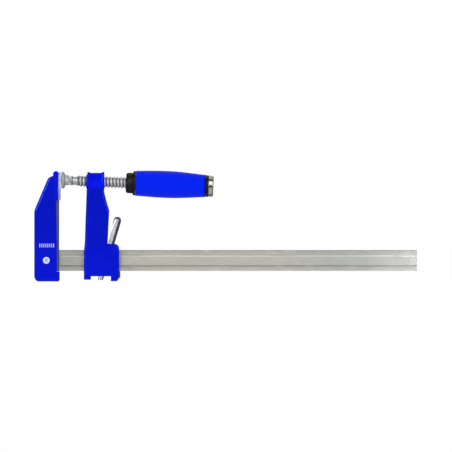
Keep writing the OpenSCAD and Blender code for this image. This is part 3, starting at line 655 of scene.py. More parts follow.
def circle(bm: BMesh, radius: float, segments: int, centre: Triple, axis: str) -> List[BMEdge]:
    """A ring of edges, turned a quarter about an axis from lying flat."""
    place = Matrix.Translation(centre) @ Matrix.Rotation(math.pi / 2, 4, axis)
    made = bmesh.ops.create_circle(bm, cap_ends=False, radius=radius, segments=segments, matrix=place)
    return list(dict.fromkeys(e for v in made["verts"] for e in v.link_edges))


def holed_plate(outer: Sequence[Flat], holes: Sequence[Sequence[Flat]], thickness: float) -> BMesh:
    """A flat plate across X with holes right through it.

    Args:
        outer: outline in Y and Z.
        holes: outlines of the holes.
        thickness: size along X, about X = 0.

    Returns:
        The mesh.
    """
    bm = bmesh.new()
    rings = [loop(bm, ((-thickness / 2, y, z) for y, z in outline)) for outline in (outer, *holes)]
    fill_between(bm, [e for ring in rings for e in ring], (-1, 0, 0))
    extrude(bm, bm.faces[:], (thickness, 0, 0))
    return bm


def on_spindle(bm: BMesh) -> BMesh:
    """Leans a mesh on the X axis onto the spindle's axis."""
    return turn(bm, LEAN, "Y")


@dataclass(frozen=True)
class Fitting:
    """What a finished piece belongs to: its body, slot and finishes, and the CAD nodes it stands for."""

    body: Body
    slot: Slot
    finish: Finish
    nodes: Tuple[str, ...] = ()
    second: Optional[Finish] = None


def bake(piece: bpy.types.Object) -> None:
    """Turns a piece's modifiers into its mesh."""
    evaluated = piece.evaluated_get(bpy.context.evaluated_depsgraph_get())
    old, whole = piece.data, bpy.data.meshes.new_from_object(evaluated)
    piece.modifiers.clear()
    piece.data = whole
    bpy.data.meshes.remove(old)
    whole.name = piece.name


def settle(bm: BMesh, name: str, fitting: Fitting, wall: float = 0.0, soften: float = 0.0,
           sharp: float = 38.0, weighted: bool = True) -> bpy.types.Object:
    """Makes the finished object of a mesh.

    Args:
        bm: the mesh in millimetres, which is freed.
        name: the piece's name.
        fitting: its body, slot, finish and nodes.
        wall: sheet thickness to give an open shell, inwards.
        soften: radius of the last small rounding on sharp edges.
        sharp: angle in degrees above which an edge stays sharp in the shading.
        weighted: whether large faces keep their own flat shading.

    Returns:
        The object, riding on its body.
    """
    bmesh.ops.scale(bm, vec=(MM, MM, MM), verts=bm.verts)
    mesh = bpy.data.meshes.new(name)
    bm.to_mesh(mesh)
    bm.free()
    mesh.polygons.foreach_set("use_smooth", [True] * len(mesh.polygons))
    for finish in (fitting.finish, fitting.second):
        if finish is not None:
            mesh.materials.append(finish.material())
    piece = bpy.data.objects.new(name, mesh)
    bpy.context.scene.collection.objects.link(piece)
    if wall:
        sheet = piece.modifiers.new("sheet", "SOLIDIFY")
        sheet.thickness, sheet.offset = wall * MM, -1.0
    if soften:
        edge = piece.modifiers.new("edge", "BEVEL")
        edge.width, edge.segments, edge.limit_method = soften * MM, 2, "ANGLE"
        edge.angle_limit = math.radians(sharp)
    if wall or soften:
        bake(piece)
    piece.data.set_sharp_from_angle(angle=math.radians(sharp))
    if weighted:
        piece.modifiers.new("normals", "WEIGHTED_NORMAL").keep_sharp = True
        bake(piece)
    return attach(piece, fitting)


def attach(piece: bpy.types.Object, fitting: Fitting) -> bpy.types.Object:
    """Puts a piece on its body, hides the CAD nodes it stands for, and reports it."""
    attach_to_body(piece, fitting.body.value)
    if fitting.nodes:
        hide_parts(*fitting.nodes)
    LOG.info("%s on %s: %d faces", piece.name, fitting.body.value, len(piece.data.polygons))
    return piece


def dress(node: str, finish: Finish) -> None:
    """Puts a finish on a CAD node that is shown as it is."""
    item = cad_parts[node]
    if item.material_slots:
        for place in item.material_slots:
            place.material = finish.material()
    else:
        item.data.materials.append(finish.material())
    LOG.info("%s keeps its CAD shape in %s", node, finish.name)


# ---- The bar ----


@dataclass
class Bar:
    """The flat bar with its rolled recesses and the stop mark."""

    start: float = -24.7
    length: float = 388.0
    top: float = -71.2
    height: float = 21.2
    thickness: float = 6.4
    recess: float = 10.4
    recess_depth: float = 0.9
    edge: float = 0.8
    mark_inset: float = 6.1
    mark_radius: float = 1.7

    def section(self) -> List[Flat]:
        """The bar's section in Y and Z, anticlockwise, with its rolled corners."""
        y, z, w, d = self.thickness / 2, self.height / 2, self.recess / 2, self.recess_depth
        side = [(y, -z), (y, -w - d / 2), (y - d, -w + d / 2), (y - d, w - d / 2), (y, w + d / 2), (y, z)]
        corners = side + [(-a, -b) for a, b in side]
        radii = {0: self.edge, 1: 0.5, 2: 0.6, 3: 0.6, 4: 0.5, 5: self.edge}
        radii.update({k + 6: r for k, r in list(radii.items())})
        middle = self.top - z
        return [(a, b + middle) for a, b in fillet(corners, radii, 4)]

    def build(self) -> None:
        """Makes the bar."""
        bm = bmesh.new()
        face = bm.faces.new([bm.verts.new((self.start, y, z)) for y, z in self.section()])
        extrude(bm, [face], (self.length, 0, 0))
        ends = [e for e in bm.edges if abs(e.verts[0].co.x - e.verts[1].co.x) < 1e-4]
        round_edges(bm, ends, 0.35, 2)
        place = (self.start + self.length - self.mark_inset, self.top - self.height / 2)
        web = self.thickness / 2 - self.recess_depth
        for face in [f for f in wide_faces(bm, 1, 1000.0) if abs(abs(f.calc_center_median().y) - web) < 0.05]:
            press(bm, face, [Pressing.dot(place, self.mark_radius, 0.5)])
        settle(bm, "clamp_bar", Fitting(Body.FRAME, Slot.BAR, BAR_STEEL, ("bar",)))


# ---- The fixed jaw ----


@dataclass
class FixedJaw:
    """The fixed jaw: folded channel, nose with its bead, liner, rivet, pad and the row of ticks."""

    width: float = 16.1
    nose_width: float = 17.7
    sheet: float = 2.0
    fold: float = 2.2
    rivet: Flat = (-14.8, -81.8)
    outline: Tuple[Flat, ...] = (
        (-24.2, -103.3), (-1.1, -103.3), (-1.1, -93.1), (-3.9, -93.1), (-4.0, -62.0), (-4.9, -22.0),
        (-4.9, 4.6), (-8.0, 4.6), (-12.9, 2.6), (-27.1, -30.9), (-27.1, -100.1))
    panel: Tuple[Flat, ...] = ((-22.0, -64.0), (-8.8, -64.0), (-8.8, -12.0), (-15.2, -12.0), (-22.0, -27.5))
    liner_width: float = 11.5
    liner_sheet: float = 2.2
    slot_half: float = 3.4
    slot_top: float = -71.0
    pad_width: float = 15.0
    # The radius where the rivet heads' rim, with its painted highlight, begins.
    rivet_rim_radius: float = 2.2
    ticks: int = 8
    tick_pitch: float = 2.04
    tick_width: float = 0.44
    tick_depth: float = 0.12
    tick_start: float = -21.5
    tick_rise: Pair = (-68.5, -64.6)

    def build(self) -> None:
        """Makes every piece of the fixed jaw."""
        self.channel()
        self.nose()
        self.liner()
        self.pad()
        self.rivets()
        self.tick_row()

    def channel(self) -> None:
        """The outer channel, folded round its foot, back and slope, open to the front."""
        prism = Prism.of(self.outline, self.width)
        prism.open_walls([3, 4, 5, 6])  # the front above the foot, and the flat top
        bm = prism.mesh
        folds = prism.rim([10, 9, 8, 7, 0, 1]) + prism.corners([10, 9, 8, 0, 1])
        round_edges(bm, folds, self.fold, 7, False)
        outline = fillet(self.panel, {0: 4.0, 1: 4.0, 2: 3.7, 3: 3.7, 4: 5.0}, 6)
        for face in wide_faces(bm, 1, 500.0):
            press(bm, face, [Pressing.panel(outline, 0.22, 3.2)])
        settle(bm, "fixed_jaw_channel", Fitting(Body.FRAME, Slot.ENAMEL, ENAMEL, ("fixed_jaw_shell",)),
               wall=self.sheet, soften=0.25)

    def nose(self) -> None:
        """The solid nose that backs the pad, with the bead across its top."""
        bead = arc((-4.95, 6.3), 3.1, 8, 202, 20)
        outline = [(-7.8, -20.2), (-2.6, -20.2), (-2.6, 6.9), *bead]
        prism = Prism.of(outline, self.nose_width)
        # The front of the bead, and the short step below it, keep sharp sides.
        edges = [e for e in prism.rim(range(len(outline)))
                 if any(v.co.x <= -2.7 for v in e.verts) or min(v.co.z for v in e.verts) <= 6]
        round_edges(prism.mesh, edges + prism.corners([0]), 1.9, 7)
        # The nose's enamel brightens towards the top: painted light.
        settle(prism.mesh, "fixed_jaw_nose", Fitting(Body.FRAME, Slot.ENAMEL, NOSE_PAINTED_LIGHT_ENAMEL), sharp=50)

    def liner(self) -> None:
        """The inner channel that shows as a strip in front of the outer one."""
        outline = ((-20.1, -92.9), (-1.7, -92.9), (-1.7, -19.8), (-15.0, -19.8), (-20.1, -33.0))
        prism = Prism.of(outline, self.liner_width)
        prism.open_walls([0, 2, 3, 4])  # all but the front
        round_edges(prism.mesh, prism.rim([1]), 2.2, 6)
        bm = prism.mesh
        half, top = self.slot_half, self.slot_top
        for place, way in (((0, half, 0), (0, 1, 0)), ((0, -half, 0), (0, 1, 0)), ((0, 0, top), (0, 0, 1))):
            cut(bm, [f for f in bm.faces if f.normal.x > 0.99], place, way)
        middles = {f: f.calc_center_median() for f in bm.faces if f.normal.x > 0.99}
        gone = [f for f, middle in middles.items() if abs(middle.y) < half and middle.z < top]
        bmesh.ops.delete(bm, geom=gone, context="FACES")
        # The liner takes the zinc's darker copy: painted shade in its recess.
        settle(bm, "fixed_jaw_inner_channel",
               Fitting(Body.FRAME, Slot.ZINC_SHEET, LINER_PAINTED_SHADE_ZINC, ("fixed_jaw_liner",)),
               wall=self.liner_sheet, soften=0.2)

    def pad(self) -> None:
        """The flat pad on the nose."""
        outline = fillet([(-3.4, -20.5), (0.0, -20.5), (0.0, 8.3), (-1.7, 8.3), (-1.95, 6.8), (-3.4, 6.8)],
                         {1: 0.9, 2: 0.9, 3: 0.3}, 4)
        prism = Prism.of(outline, self.pad_width)
        round_edges(prism.mesh, prism.rim(range(len(outline) - 1)), 0.6, 3)
        settle(prism.mesh, "fixed_jaw_face_pad",
               Fitting(Body.FRAME, Slot.ZINC_SHEET, ZINC_SHEET, ("fixed_jaw_pad",)), sharp=50)

    def rivets(self) -> None:
        """The rivet through the channel, the liner and the bar, with dished heads."""
        face = self.width / 2 + 0.1
        head = [(face + a, r) for a, r in ((0.7, 0.0), (0.7, 1.6), (0.9, 2.0), (0.85, 2.5), (0.6, 3.05),
                                           (0.25, 3.4), (0.0, 3.5), (0.0, 2.4))]
        profile = [(-x, r) for x, r in head] + head[::-1]
        bm = turned(profile, 48)
        # Faces beyond the rim radius take the rim's painted highlight; the centre keeps the plain rivet
        # steel.
        for head_face in bm.faces:
            middle = head_face.calc_center_median()
            head_face.material_index = int(math.hypot(middle.y, middle.z) > self.rivet_rim_radius)
        shift(turn(bm, math.pi / 2, "Z"), (self.rivet[0], 0, self.rivet[1]))
        settle(bm, "fixed_jaw_rivet_heads",
               Fitting(Body.FRAME, Slot.RIVET, RIVET_STEEL, ("fixed_jaw_rivet",), RIVET_RIM_PAINTED_HIGHLIGHT), weighted=False)

    def tick_row(self) -> None:
        """A generic row of plain ticks on each side, above the rivet."""
        bm = bmesh.new()
        half = self.tick_width / 2
        for side in (-1, 1):
            for i in range(self.ticks):
                x, (low, high) = self.tick_start + self.tick_pitch * i, self.tick_rise
                outline = fillet([(x - half, low), (x + half, low), (x + half, high), (x - half, high)],
                                 {k: 0.15 for k in range(4)}, 3)
                start = len(bm.verts)
                Prism.of(outline, self.tick_depth, bm)
                bm.verts.ensure_lookup_table()
                shift(bm, (0, side * (self.width / 2 + 0.02), 0), bm.verts[start:])
        settle(bm, "fixed_jaw_ticks", Fitting(Body.FRAME, Slot.ENAMEL, MARK_PAINT), weighted=False)


# ---- The sliding jaw ----


@dataclass
class SlidingJaw:
    """The sliding jaw's folded arm and housing, its head round the nut, the far tab and hidden guides."""

    width: float = 18.0
    sheet: float = 2.0
    fold: float = 2.2
    head: Pair = (27.0, 44.5)
    head_top: float = 7.6
    head_bottom: float = -8.6
    head_half: float = 10.4
    bar_slot_half: float = 3.4
    bar_slot: Pair = (-92.6, -71.0)
    lever_slot_half: float = 6.0
    lever_slot_end: float = 55.4
    hole_radius: float = 5.95
    tab_width: float = 17.6
    pip_height: float = -95.15
    spring_wire: float = 0.35
    spring_mean: float = 2.05
    spring_keep: float = 0.7

    def outline(self) -> List[Flat]:
        """The side's outline, anticlockwise from the near foot."""
        corner = arc((54.7, -69.7), 4.9, 0, 90, 8)
        return [(23.5, -101.5), (30.7, -101.5), (30.7, -98.0), (51.0, -98.0), (51.0, -103.0), (57.2, -103.0),
                (59.6, -99.9), *corner, (47.8, -64.8), (48.8, -42.6), (49.5, -30.9), (46.4, -20.7),
                (44.3, -12.0), (44.2, -7.6), (26.4, -7.6), (25.5, -32.4), (24.4, -65.0), (23.5, -71.2)]

    def build(self) -> None:
        """Makes every piece of the sliding jaw."""
        self.shell()
        self.sleeve()
        self.tab()
        self.spring()
        dress("spindle_nut", NUT_STEEL)
        dress("near_bar_guide", GUIDE_STEEL)
        dress("far_bar_guide", GUIDE_STEEL)
        dress("clutch_fulcrum_pin", GUIDE_STEEL)

    def shell(self) -> None:
        """The arm and the housing, folded from one sheet."""
        prism = Prism.of(self.outline(), self.width)
        # Open under both feet and between them, behind the arm's straight part, and at the top.
        prism.open_walls([0, 1, 2, 3, 4, 16, 17, 21])
        far_wall, neck, front = range(6, 16), (18, 19, 20), (22, 23, 24, 25)
        bm = prism.mesh
        folds = prism.rim([*far_wall, *neck, *front]) + prism.corners([18, 19, 23, 24, 25])
        round_edges(bm, folds, self.fold, 6)
        self.cut_slots(bm)
        panel = fillet([(30.4, -62.0), (42.6, -62.0), (44.6, -33.0), (40.6, -14.0), (31.2, -14.0)],
                       {i: 4.0 for i in range(5)}, 6)
        for face in wide_faces(bm, 1, 1200.0):
            press(bm, face, [Pressing.panel(panel, 0.2, 3.2)])
        settle(bm, "sliding_jaw_arm", Fitting(Body.SLIDER, Slot.ENAMEL, ENAMEL, ("sliding_jaw_shell",)),
               wall=self.sheet, soften=0.25)

    def cut_slots(self, bm: BMesh) -> None:
        """Cuts the bar's slots in the front and far walls, and the lever's slot in the housing's top.

        Args:
            bm: the folded mesh, before it gets its thickness.
        """
        def near_bar(face: BMFace) -> bool:
            """Whether a face is in a wall that the bar passes."""
            return abs(face.normal.x) > 0.9 and face.calc_center_median().z < -60

        def housing_top(face: BMFace) -> bool:
            """Whether a face is in the housing's top."""
            middle = face.calc_center_median()
            return face.normal.z > 0.3 and middle.x > 47 and middle.z > -72

        (low, high), end = self.bar_slot, self.lever_slot_end
        for wanted, half, planes in (
                (near_bar, self.bar_slot_half, (((0, 0, high), (0, 0, 1)), ((0, 0, low), (0, 0, 1)))),
                (housing_top, self.lever_slot_half, (((end, 0, 0), (1, 0, 0)),))):
            for place, way in (((0, half, 0), (0, 1, 0)), ((0, -half, 0), (0, 1, 0)), *planes):
                cut(bm, [f for f in bm.faces if wanted(f)], place, way)
            middles = {f: f.calc_center_median() for f in bm.faces if wanted(f)}
            gone = [f for f, middle in middles.items() if abs(middle.y) < half
                    and (middle.x < end if f.normal.z > 0.3 else low < middle.z < high)]
            bmesh.ops.delete(bm, geom=gone, context="FACES")

    def section(self, grow: float) -> List[Flat]:
        """The head's section in Y and Z at one place, with the beads' growth."""
        half, top, low = self.head_half + grow * 0.5, self.head_top + grow, self.head_bottom
        right = [(half - 1.8, low - 0.3), (half - 1.5, low + 0.2), (half - 1.25, low + 1.0), (half, -1.5),
                 (half - 0.03, -1.2), (half - 0.55, 2.4), *arc((half - 3.7, top - 3.1), 3.1, 8, 90, 6)]
        return right + [(-y, z) for y, z in reversed(right)]

    def sleeve(self) -> None:
        """The head: a sleeve wrapped round the nut, with a raised bead at each end."""
        start, end = self.head
        bead = ((0.0, 0.25), (0.35, 0.75), (1.0, 0.95), (1.9, 0.85), (2.6, 0.35), (3.1, 0.0))
        steps = [(start + a, g) for a, g in bead] + [(end - a, g) for a, g in reversed(bead)]
        bm = bmesh.new()
        rings = [loop(bm, ((x, y, z) for y, z in self.section(grow))) for x, grow in steps]
        for a, b in zip(rings, rings[1:]):
            bmesh.ops.bridge_loops(bm, edges=a + b)
        for x, ring, out in ((start, rings[0], -1), (end, rings[-1], 1)):
            rim = circle(bm, self.hole_radius, 40, (x, 0, -x * math.tan(LEAN)), "Y")
            fill_between(bm, ring + rim, (out, 0, 0))
            shift(bm, (-out * self.sheet, 0, 0), new_verts(bmesh.ops.extrude_edge_only(bm, edges=rim)))
        bmesh.ops.recalc_face_normals(bm, faces=bm.faces)
        # The head's enamel carries painted light in a band round its lower half.
        settle(bm, "sliding_jaw_head", Fitting(Body.SLIDER, Slot.ENAMEL, HEAD_PAINTED_LIGHT_ENAMEL), soften=0.3)
        self.boss()

    def boss(self) -> None:
        """The raised lip round the spindle's hole on the near side of the head."""
        start = self.head[0]
        profile = [(start + 0.3, 7.2), (start - 0.5, 7.1), (start - 0.95, 6.85), (start - 1.1, 6.5),
                   (start - 1.05, 6.15), (start - 0.8, 5.95), (start + 0.3, 5.95)]
        bm = on_spindle(turned(profile, 48))
        settle(bm, "sliding_jaw_head_lip", Fitting(Body.SLIDER, Slot.ENAMEL, ENAMEL), weighted=False)

    def tab(self) -> None:
        """The folded tab below the bar at the far end, which the spring pushes on."""
        outline = [(58.9, -99.9), (60.7, -99.2), (60.7, -92.6), (58.9, -92.6)]
        prism = Prism.of(outline, self.tab_width)
        round_edges(prism.mesh, prism.rim([1]), 1.0, 4)
        # The tab takes the enamel's dark copy: painted shade.
        settle(prism.mesh, "sliding_jaw_tab", Fitting(Body.SLIDER, Slot.ENAMEL, TAB_PAINTED_SHADE_ENAMEL), soften=0.25)
        pip = [(57.2, 0.0), (57.2, 0.9), (57.5, 1.35), (59.2, 1.35)]
        bm = shift(turned(pip, 24), (0, 0, self.pip_height))
        settle(bm, "sliding_jaw_tab_pip", Fitting(Body.SLIDER, Slot.ENAMEL, ENAMEL), weighted=False)

    def spring(self) -> None:
        """The clutch spring: a round wire with close end coils."""
        low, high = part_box("clutch_spring")
        start, end = low.x / MM, high.x / MM
        middle = (low.z + high.z) / 2
        wire, steps = self.spring_wire, 20
        close, open_run = 2 * wire, (end - start) - 6 * wire
        bm = bmesh.new()
        geom = parts_of(circle(bm, wire, 10, (start + wire, 0, self.spring_mean), "X"))
        for turns, run in ((1, close), (4, open_run), (1, close)):
            geom = spin(bm, geom, 2 * math.pi * turns, steps * turns, run / (steps * turns))
        bmesh.ops.remove_doubles(bm, verts=bm.verts, dist=0.002)
        bmesh.ops.holes_fill(bm, edges=[e for e in bm.edges if e.is_boundary], sides=0)
        bmesh.ops.recalc_face_normals(bm, faces=bm.faces)
        shift(bm, (0, 0, middle / MM))
        coil = settle(bm, "clutch_coil_spring",
                      Fitting(Body.SLIDER, Slot.SPRING, SPRING_STEEL, ("clutch_spring",)), weighted=False)
        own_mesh(coil)


# ---- The clutch ----


@dataclass
class Clutch:
    """The release lever and the two clutch plates, each built upright and then leaned."""

    place: float = 48.4
    middle: float = -81.8
    bar_half: float = 10.6
    bar_thickness: float = 6.4
    lever_thickness: float = 2.5
    plate_thickness: float = 1.8
    plate_gap: float = 0.08
    leaf: float = 1.0
    lever_leaf: float = 1.6
    lever_offset: float = -0.3
    plate_width: float = 13.0
    blade_width: float = 11.0
    plate_low: float = -20.86
    plate_high: float = 14.81
    blade_low: float = 15.5
    blade_top: float = 45.5
    blade_round: float = 3.95
    blade_sheet: float = 1.5
    # Where the blade's painted shade begins, across X and up Z.
    painted_shade_edge: float = -1.6
    painted_shade_top: float = 42.7

    def build(self) -> None:
        """Makes the lever and both plates."""
        rear = -(self.lever_thickness + self.plate_thickness) / 2 - self.plate_gap
        front = rear - self.plate_thickness - self.plate_gap
        self.lever()
        for name, node, body, offset in (
                ("clutch_front_leaf", "clutch_plate_front", Body.FRONT_PLATE, front),
                ("clutch_rear_leaf", "clutch_plate_rear", Body.REAR_PLATE, rear)):
            bm = self.plate(self.leaf, self.plate_high)
            self.lean(bm, offset)
            settle(bm, name, Fitting(body, Slot.CLUTCH, CLUTCH_STEEL, (node,)), soften=0.2)

    def lean(self, bm: BMesh, offset: float) -> None:
        """Moves a mesh from upright at the origin to its place round the bar."""
        shift(turn(bm, CLUTCH_LEAN, "Y"), (self.place + offset / math.cos(CLUTCH_LEAN), 0, self.middle))

    def plate(self, thickness: float, high: float) -> BMesh:
        """A plate with the slot for the bar, upright at the origin."""
        half = self.plate_width / 2
        slot = (self.bar_half + 0.1 + thickness / 2 * math.sin(CLUTCH_LEAN)) / math.cos(CLUTCH_LEAN)
        wide = self.bar_thickness / 2 + 0.15
        outer = fillet([(-half, self.plate_low), (half, self.plate_low), (half, high), (-half, high)],
                       {0: 2.5, 1: 2.5, 2: 0.8, 3: 0.8}, 6)
        return holed_plate(outer, [[(-wide, -slot), (wide, -slot), (wide, slot), (-wide, slot)]], thickness)

    def lever(self) -> None:
        """The lever: its plate round the bar and the channel-shaped thumb blade."""
        bm = self.plate(self.lever_leaf, self.blade_low)
        self.lean(bm, self.lever_offset)
        # The lever's plate takes the dark copy throughout: painted shade.
        settle(bm, "release_lever_plate",
               Fitting(Body.LEVER, Slot.LEVER, LEVER_PAINTED_SHADE, ("release_lever",)), soften=0.2)
        web, r = self.lever_thickness / 2, self.blade_round
        round_top = arc((web - r, self.blade_top - r), r, 0, 180, 14)
        outline = [(-web - 3.5, self.blade_low), (web, self.blade_low), *round_top]
        prism = Prism.of(outline, self.blade_width)
        prism.open_walls([0, len(outline) - 1])  # below, and towards the arm
        round_edges(prism.mesh, prism.rim(range(1, len(outline) - 1)), 2.8, 8)
        bm = prism.mesh
        cut(bm, bm.faces, (self.painted_shade_edge, 0, 0), (1, 0, 0))
        cut(bm, bm.faces, (0, 0, self.painted_shade_top), (0, 0, 1))
        groove = fillet([(-3.7, self.blade_low + 2), (-2.5, self.blade_low + 2), (-3.2, self.blade_top - 6.5),
                         (-4.4, self.blade_top - 6.5)], {k: 0.5 for k in range(4)}, 4)
        for face in wide_faces(bm, 1, 40.0):
            press(bm, face, [Pressing(groove, ((0.15, 0.2), (0.3, 0.36), (0.42, 0.42)))])
        # Faces past the shade edge in +X and faces above the shade top take the dark copy: painted shade on
        # the blade's back and top.
        for face in bm.faces:
            middle = face.calc_center_median()
            face.material_index = int(middle.x > self.painted_shade_edge or middle.z > self.painted_shade_top)
        self.lean(bm, 0)
        settle(bm, "release_lever_blade",
               Fitting(Body.LEVER, Slot.LEVER, LEVER_ZINC, second=LEVER_PAINTED_SHADE),
               wall=self.blade_sheet, soften=0.15)


# ---- The spindle ----


@dataclass
class Spindle:
    """The swivel pad, the threaded spindle and its retaining ring."""

    pitch: float = 3.5
    crest: float = 5.85
    root: float = 4.6
    thread: Pair = (16.6, 70.2)
    shank: float = 4.25
    run_in: float = 2.6
    turns: int = 17
    steps: int = 44
    first: float = 12.1

    def build(self) -> None:
        """Makes the pad, the rod, the thread and the ring."""
        self.pad()
        self.rod()
        self.thread_run()
        ring = fillet([(11.2, 3.6), (11.2, 4.9), (12.25, 4.9), (12.25, 3.6)], {1: 0.25, 2: 0.25}, 3, False)
        bm = on_spindle(turned([*ring, ring[0]], 48))
        settle(bm, "pad_ring", Fitting(Body.FEED, Slot.RING, RING_STEEL, ("pad_retaining_ring",)),
               weighted=False)

    def pad(self) -> None:
        """The swivel pad: a dished disc crimped onto its socket."""
        face = 0.7
        disc = fillet([(0.12, 0.0), (0.56, 5.6), (0.66, 6.6), (face + 0.05, 8.4), (face + 2.5, 8.4),
                       (face + 3.6, 6.6), (face + 3.6, 5.4), (face + 1.0, 5.4)],
                      {1: 0.5, 2: 0.4, 3: 0.5, 4: 0.5, 5: 0.5}, 4, False)
        bm = turned([*disc, (face + 1.0, 0.0)], 80)
        settle(bm, "swivel_pad_face_disc",
               Fitting(Body.SWIVEL, Slot.PAD, PAD_ZINC, ("swivel_pad_disc",)), weighted=False)
        socket = fillet([(face + 1.1, 0.0), (face + 1.1, 5.3), (face + 6.2, 5.3), (face + 8.3, 4.55),
                         (face + 8.3, 3.0), (face + 7.2, 3.0), (face + 6.0, 3.6), (face + 2.2, 3.6)],
                        {1: 0.4, 2: 0.8, 3: 0.4}, 4, False)
        bm = turned([*socket, (face + 0.9 + 0.6, 0.0)], 64)
        # The cup takes the pad zinc's lighter copy: painted light.
        settle(bm, "swivel_pad_cup",
               Fitting(Body.SWIVEL, Slot.PAD, CUP_ZINC, ("swivel_pad_socket",)), weighted=False)

    def rod(self) -> None:
        """The spindle's ball, neck, collar and plain shank."""
        ball = arc((5.6, 0.0), 3.5, 180, 38, 14)
        profile = [*ball, (9.6, 2.1), (9.6, 4.4), (9.85, 4.7), (10.85, 4.7), (11.1, 4.45), (11.1, 3.5),
                   (12.3, 3.5), (12.3, 3.95), (12.6, 4.2), (16.0, 4.2), (16.6, 4.3), (70.2, 4.3),
                   (70.2, 4.2), (142.1, 4.2), (142.1, 0.0)]
        bm = on_spindle(turned(profile, 64))
        settle(bm, "spindle_rod", Fitting(Body.SCREW, Slot.THREAD, THREAD_STEEL, ("spindle",)),
               weighted=False)

    def thread_run(self) -> None:
        """The rolled thread: one pitch of its profile wound about the axis."""
        p, root, crest = self.pitch, self.root, self.crest
        wave = [(-0.5, root), (-0.37, root + 0.03), (-0.29, root + 0.22), (-0.15, crest - 0.22),
                (-0.08, crest - 0.03), (0.0, crest), (0.08, crest - 0.03), (0.15, crest - 0.22),
                (0.29, root + 0.22), (0.37, root + 0.03), (0.5, root)]
        bm = bmesh.new()
        edges = loop(bm, ((self.first + s * p, 0, r) for s, r in wave), False)
        spin(bm, parts_of(edges), 2 * math.pi * self.turns, self.steps * self.turns, p / self.steps)
        bmesh.ops.remove_doubles(bm, verts=bm.verts, dist=0.01)
        for x, way in ((self.thread[0], -1), (self.thread[1], 1)):
            cut(bm, bm.faces, (x, 0, 0), (way, 0, 0), clear=True)
        # The height runs from root to crest, for the painted shade in the roots.
        height = bm.verts.layers.float.new("height")
        for vert in bm.verts:
            inside = min(1.0, (vert.co.x - self.thread[0]) / self.run_in)
            limit = self.shank + (crest - self.shank) * math.sin(inside * math.pi / 2)
            radius = math.hypot(vert.co.y, vert.co.z)
            if radius > limit:
                vert.co.y *= limit / radius
                vert.co.z *= limit / radius
            vert[height] = min(1.0, max(0.0, (min(radius, limit) - root) / (crest - root)))
        bmesh.ops.recalc_face_normals(bm, faces=bm.faces)
        outward = sum(f.normal.dot(Vector((0, *f.calc_center_median().yz))) for f in bm.faces)
        if outward < 0:
            bmesh.ops.reverse_faces(bm, faces=bm.faces)
        settle(on_spindle(bm), "spindle_thread", Fitting(Body.SCREW, Slot.THREAD, RIDGED_STEEL),
               sharp=70, weighted=False)


# ---- The handle ----


@dataclass
class Handle:
    """The black core with its collar and rings, the grip, the end cap and the hidden pin."""

    start: float = 66.5
    flare: float = 73.6
    grip_start: float = 76.3
    grip_end: float = 148.1
    end: float = 150.7
    cap_length: float = 5.1
    swell: Tuple[Flat, ...] = (
        (0.0, 12.75), (4.0, 12.96), (10.0, 13.23), (16.0, 13.5), (22.0, 13.71), (30.0, 13.79), (36.0, 13.78),
        (42.0, 13.6), (48.0, 13.25), (53.5, 12.85), (58.0, 12.45), (62.0, 12.1), (66.0, 11.75), (69.5, 11.5),
        (71.8, 11.4))

    def build(self) -> None:
        """Makes every piece of the handle."""
        self.core()
        self.grip()
        self.cap()
        dress("handle_pin", GUIDE_STEEL)

    def core(self) -> None:
        """The black moulding: collar, flare, bore and rear ring in one."""
        profile = fillet([(self.start + 0.8, 5.55), (self.start, 7.2), (self.start, 10.5), (self.flare, 10.5),
                          (self.flare + 0.3, 12.5), (self.grip_start, 12.5), (self.grip_start, 8.2),
                          (self.grip_end, 8.2), (self.grip_end, 11.1), (self.end, 11.1), (self.end, 8.2),
                          (144.2, 8.2), (144.2, 4.3), (self.start + 4, 4.3), (self.start + 4, 5.5)],
                         {1: 0.6, 2: 2.4, 3: 0.5, 4: 0.9, 5: 0.3, 8: 0.3, 9: 0.5}, 5, False)
        bm = on_spindle(turned([*profile, profile[0]], 96))
        settle(bm, "handle_black_core", Fitting(Body.SCREW, Slot.BLACK, BLACK_PLASTIC, ("handle_core",)),
               weighted=False)

    def grip(self) -> None:
        """The swelled blue grip."""
        start = self.grip_start + 0.05
        length = self.grip_end - self.grip_start - 0.1
        body = [(start + a * length / self.swell[-1][0], r) for a, r in self.swell]
        profile = fillet([(start, 8.25), *body, (start + length, 8.25)], {1: 0.5, len(body): 0.7}, 4, False)
        bm = on_spindle(turned([*profile, profile[0]], 112))
        settle(bm, "handle_blue_grip", Fitting(Body.SCREW, Slot.GRIP, GRIP_BLUE, ("handle_grip",)),
               weighted=False)

    def cap(self) -> None:
        """The polished end cap, with a shallow centre and a fine turned line."""
        a, b = self.end + 0.05, self.end + 0.05 + self.cap_length
        corners = [(144.6, 0.0), (144.6, 8.1), (a, 8.1), (a, 10.9), (b, 10.9), (b, 3.0), (b - 0.4, 2.4),
                   (b - 0.4, 0.0)]
        profile = fillet(corners, {3: 0.35, 4: 1.7, 5: 0.3, 6: 0.3}, 9, False)
        bm = on_spindle(turned(profile, 96))
        settle(bm, "handle_polished_cap", Fitting(Body.SCREW, Slot.CAP, CAP_STEEL, ("handle_end_cap",)),
               weighted=False)


# ---- The studio ----


def step(graph: Graph, value: Socket, between: Pair, low: float = 0.0, high: float = 1.0) -> Socket:
    """A soft step from low to high as a value passes between two places."""
    return graph.span(value, *between, low, high, "SMOOTHSTEP")


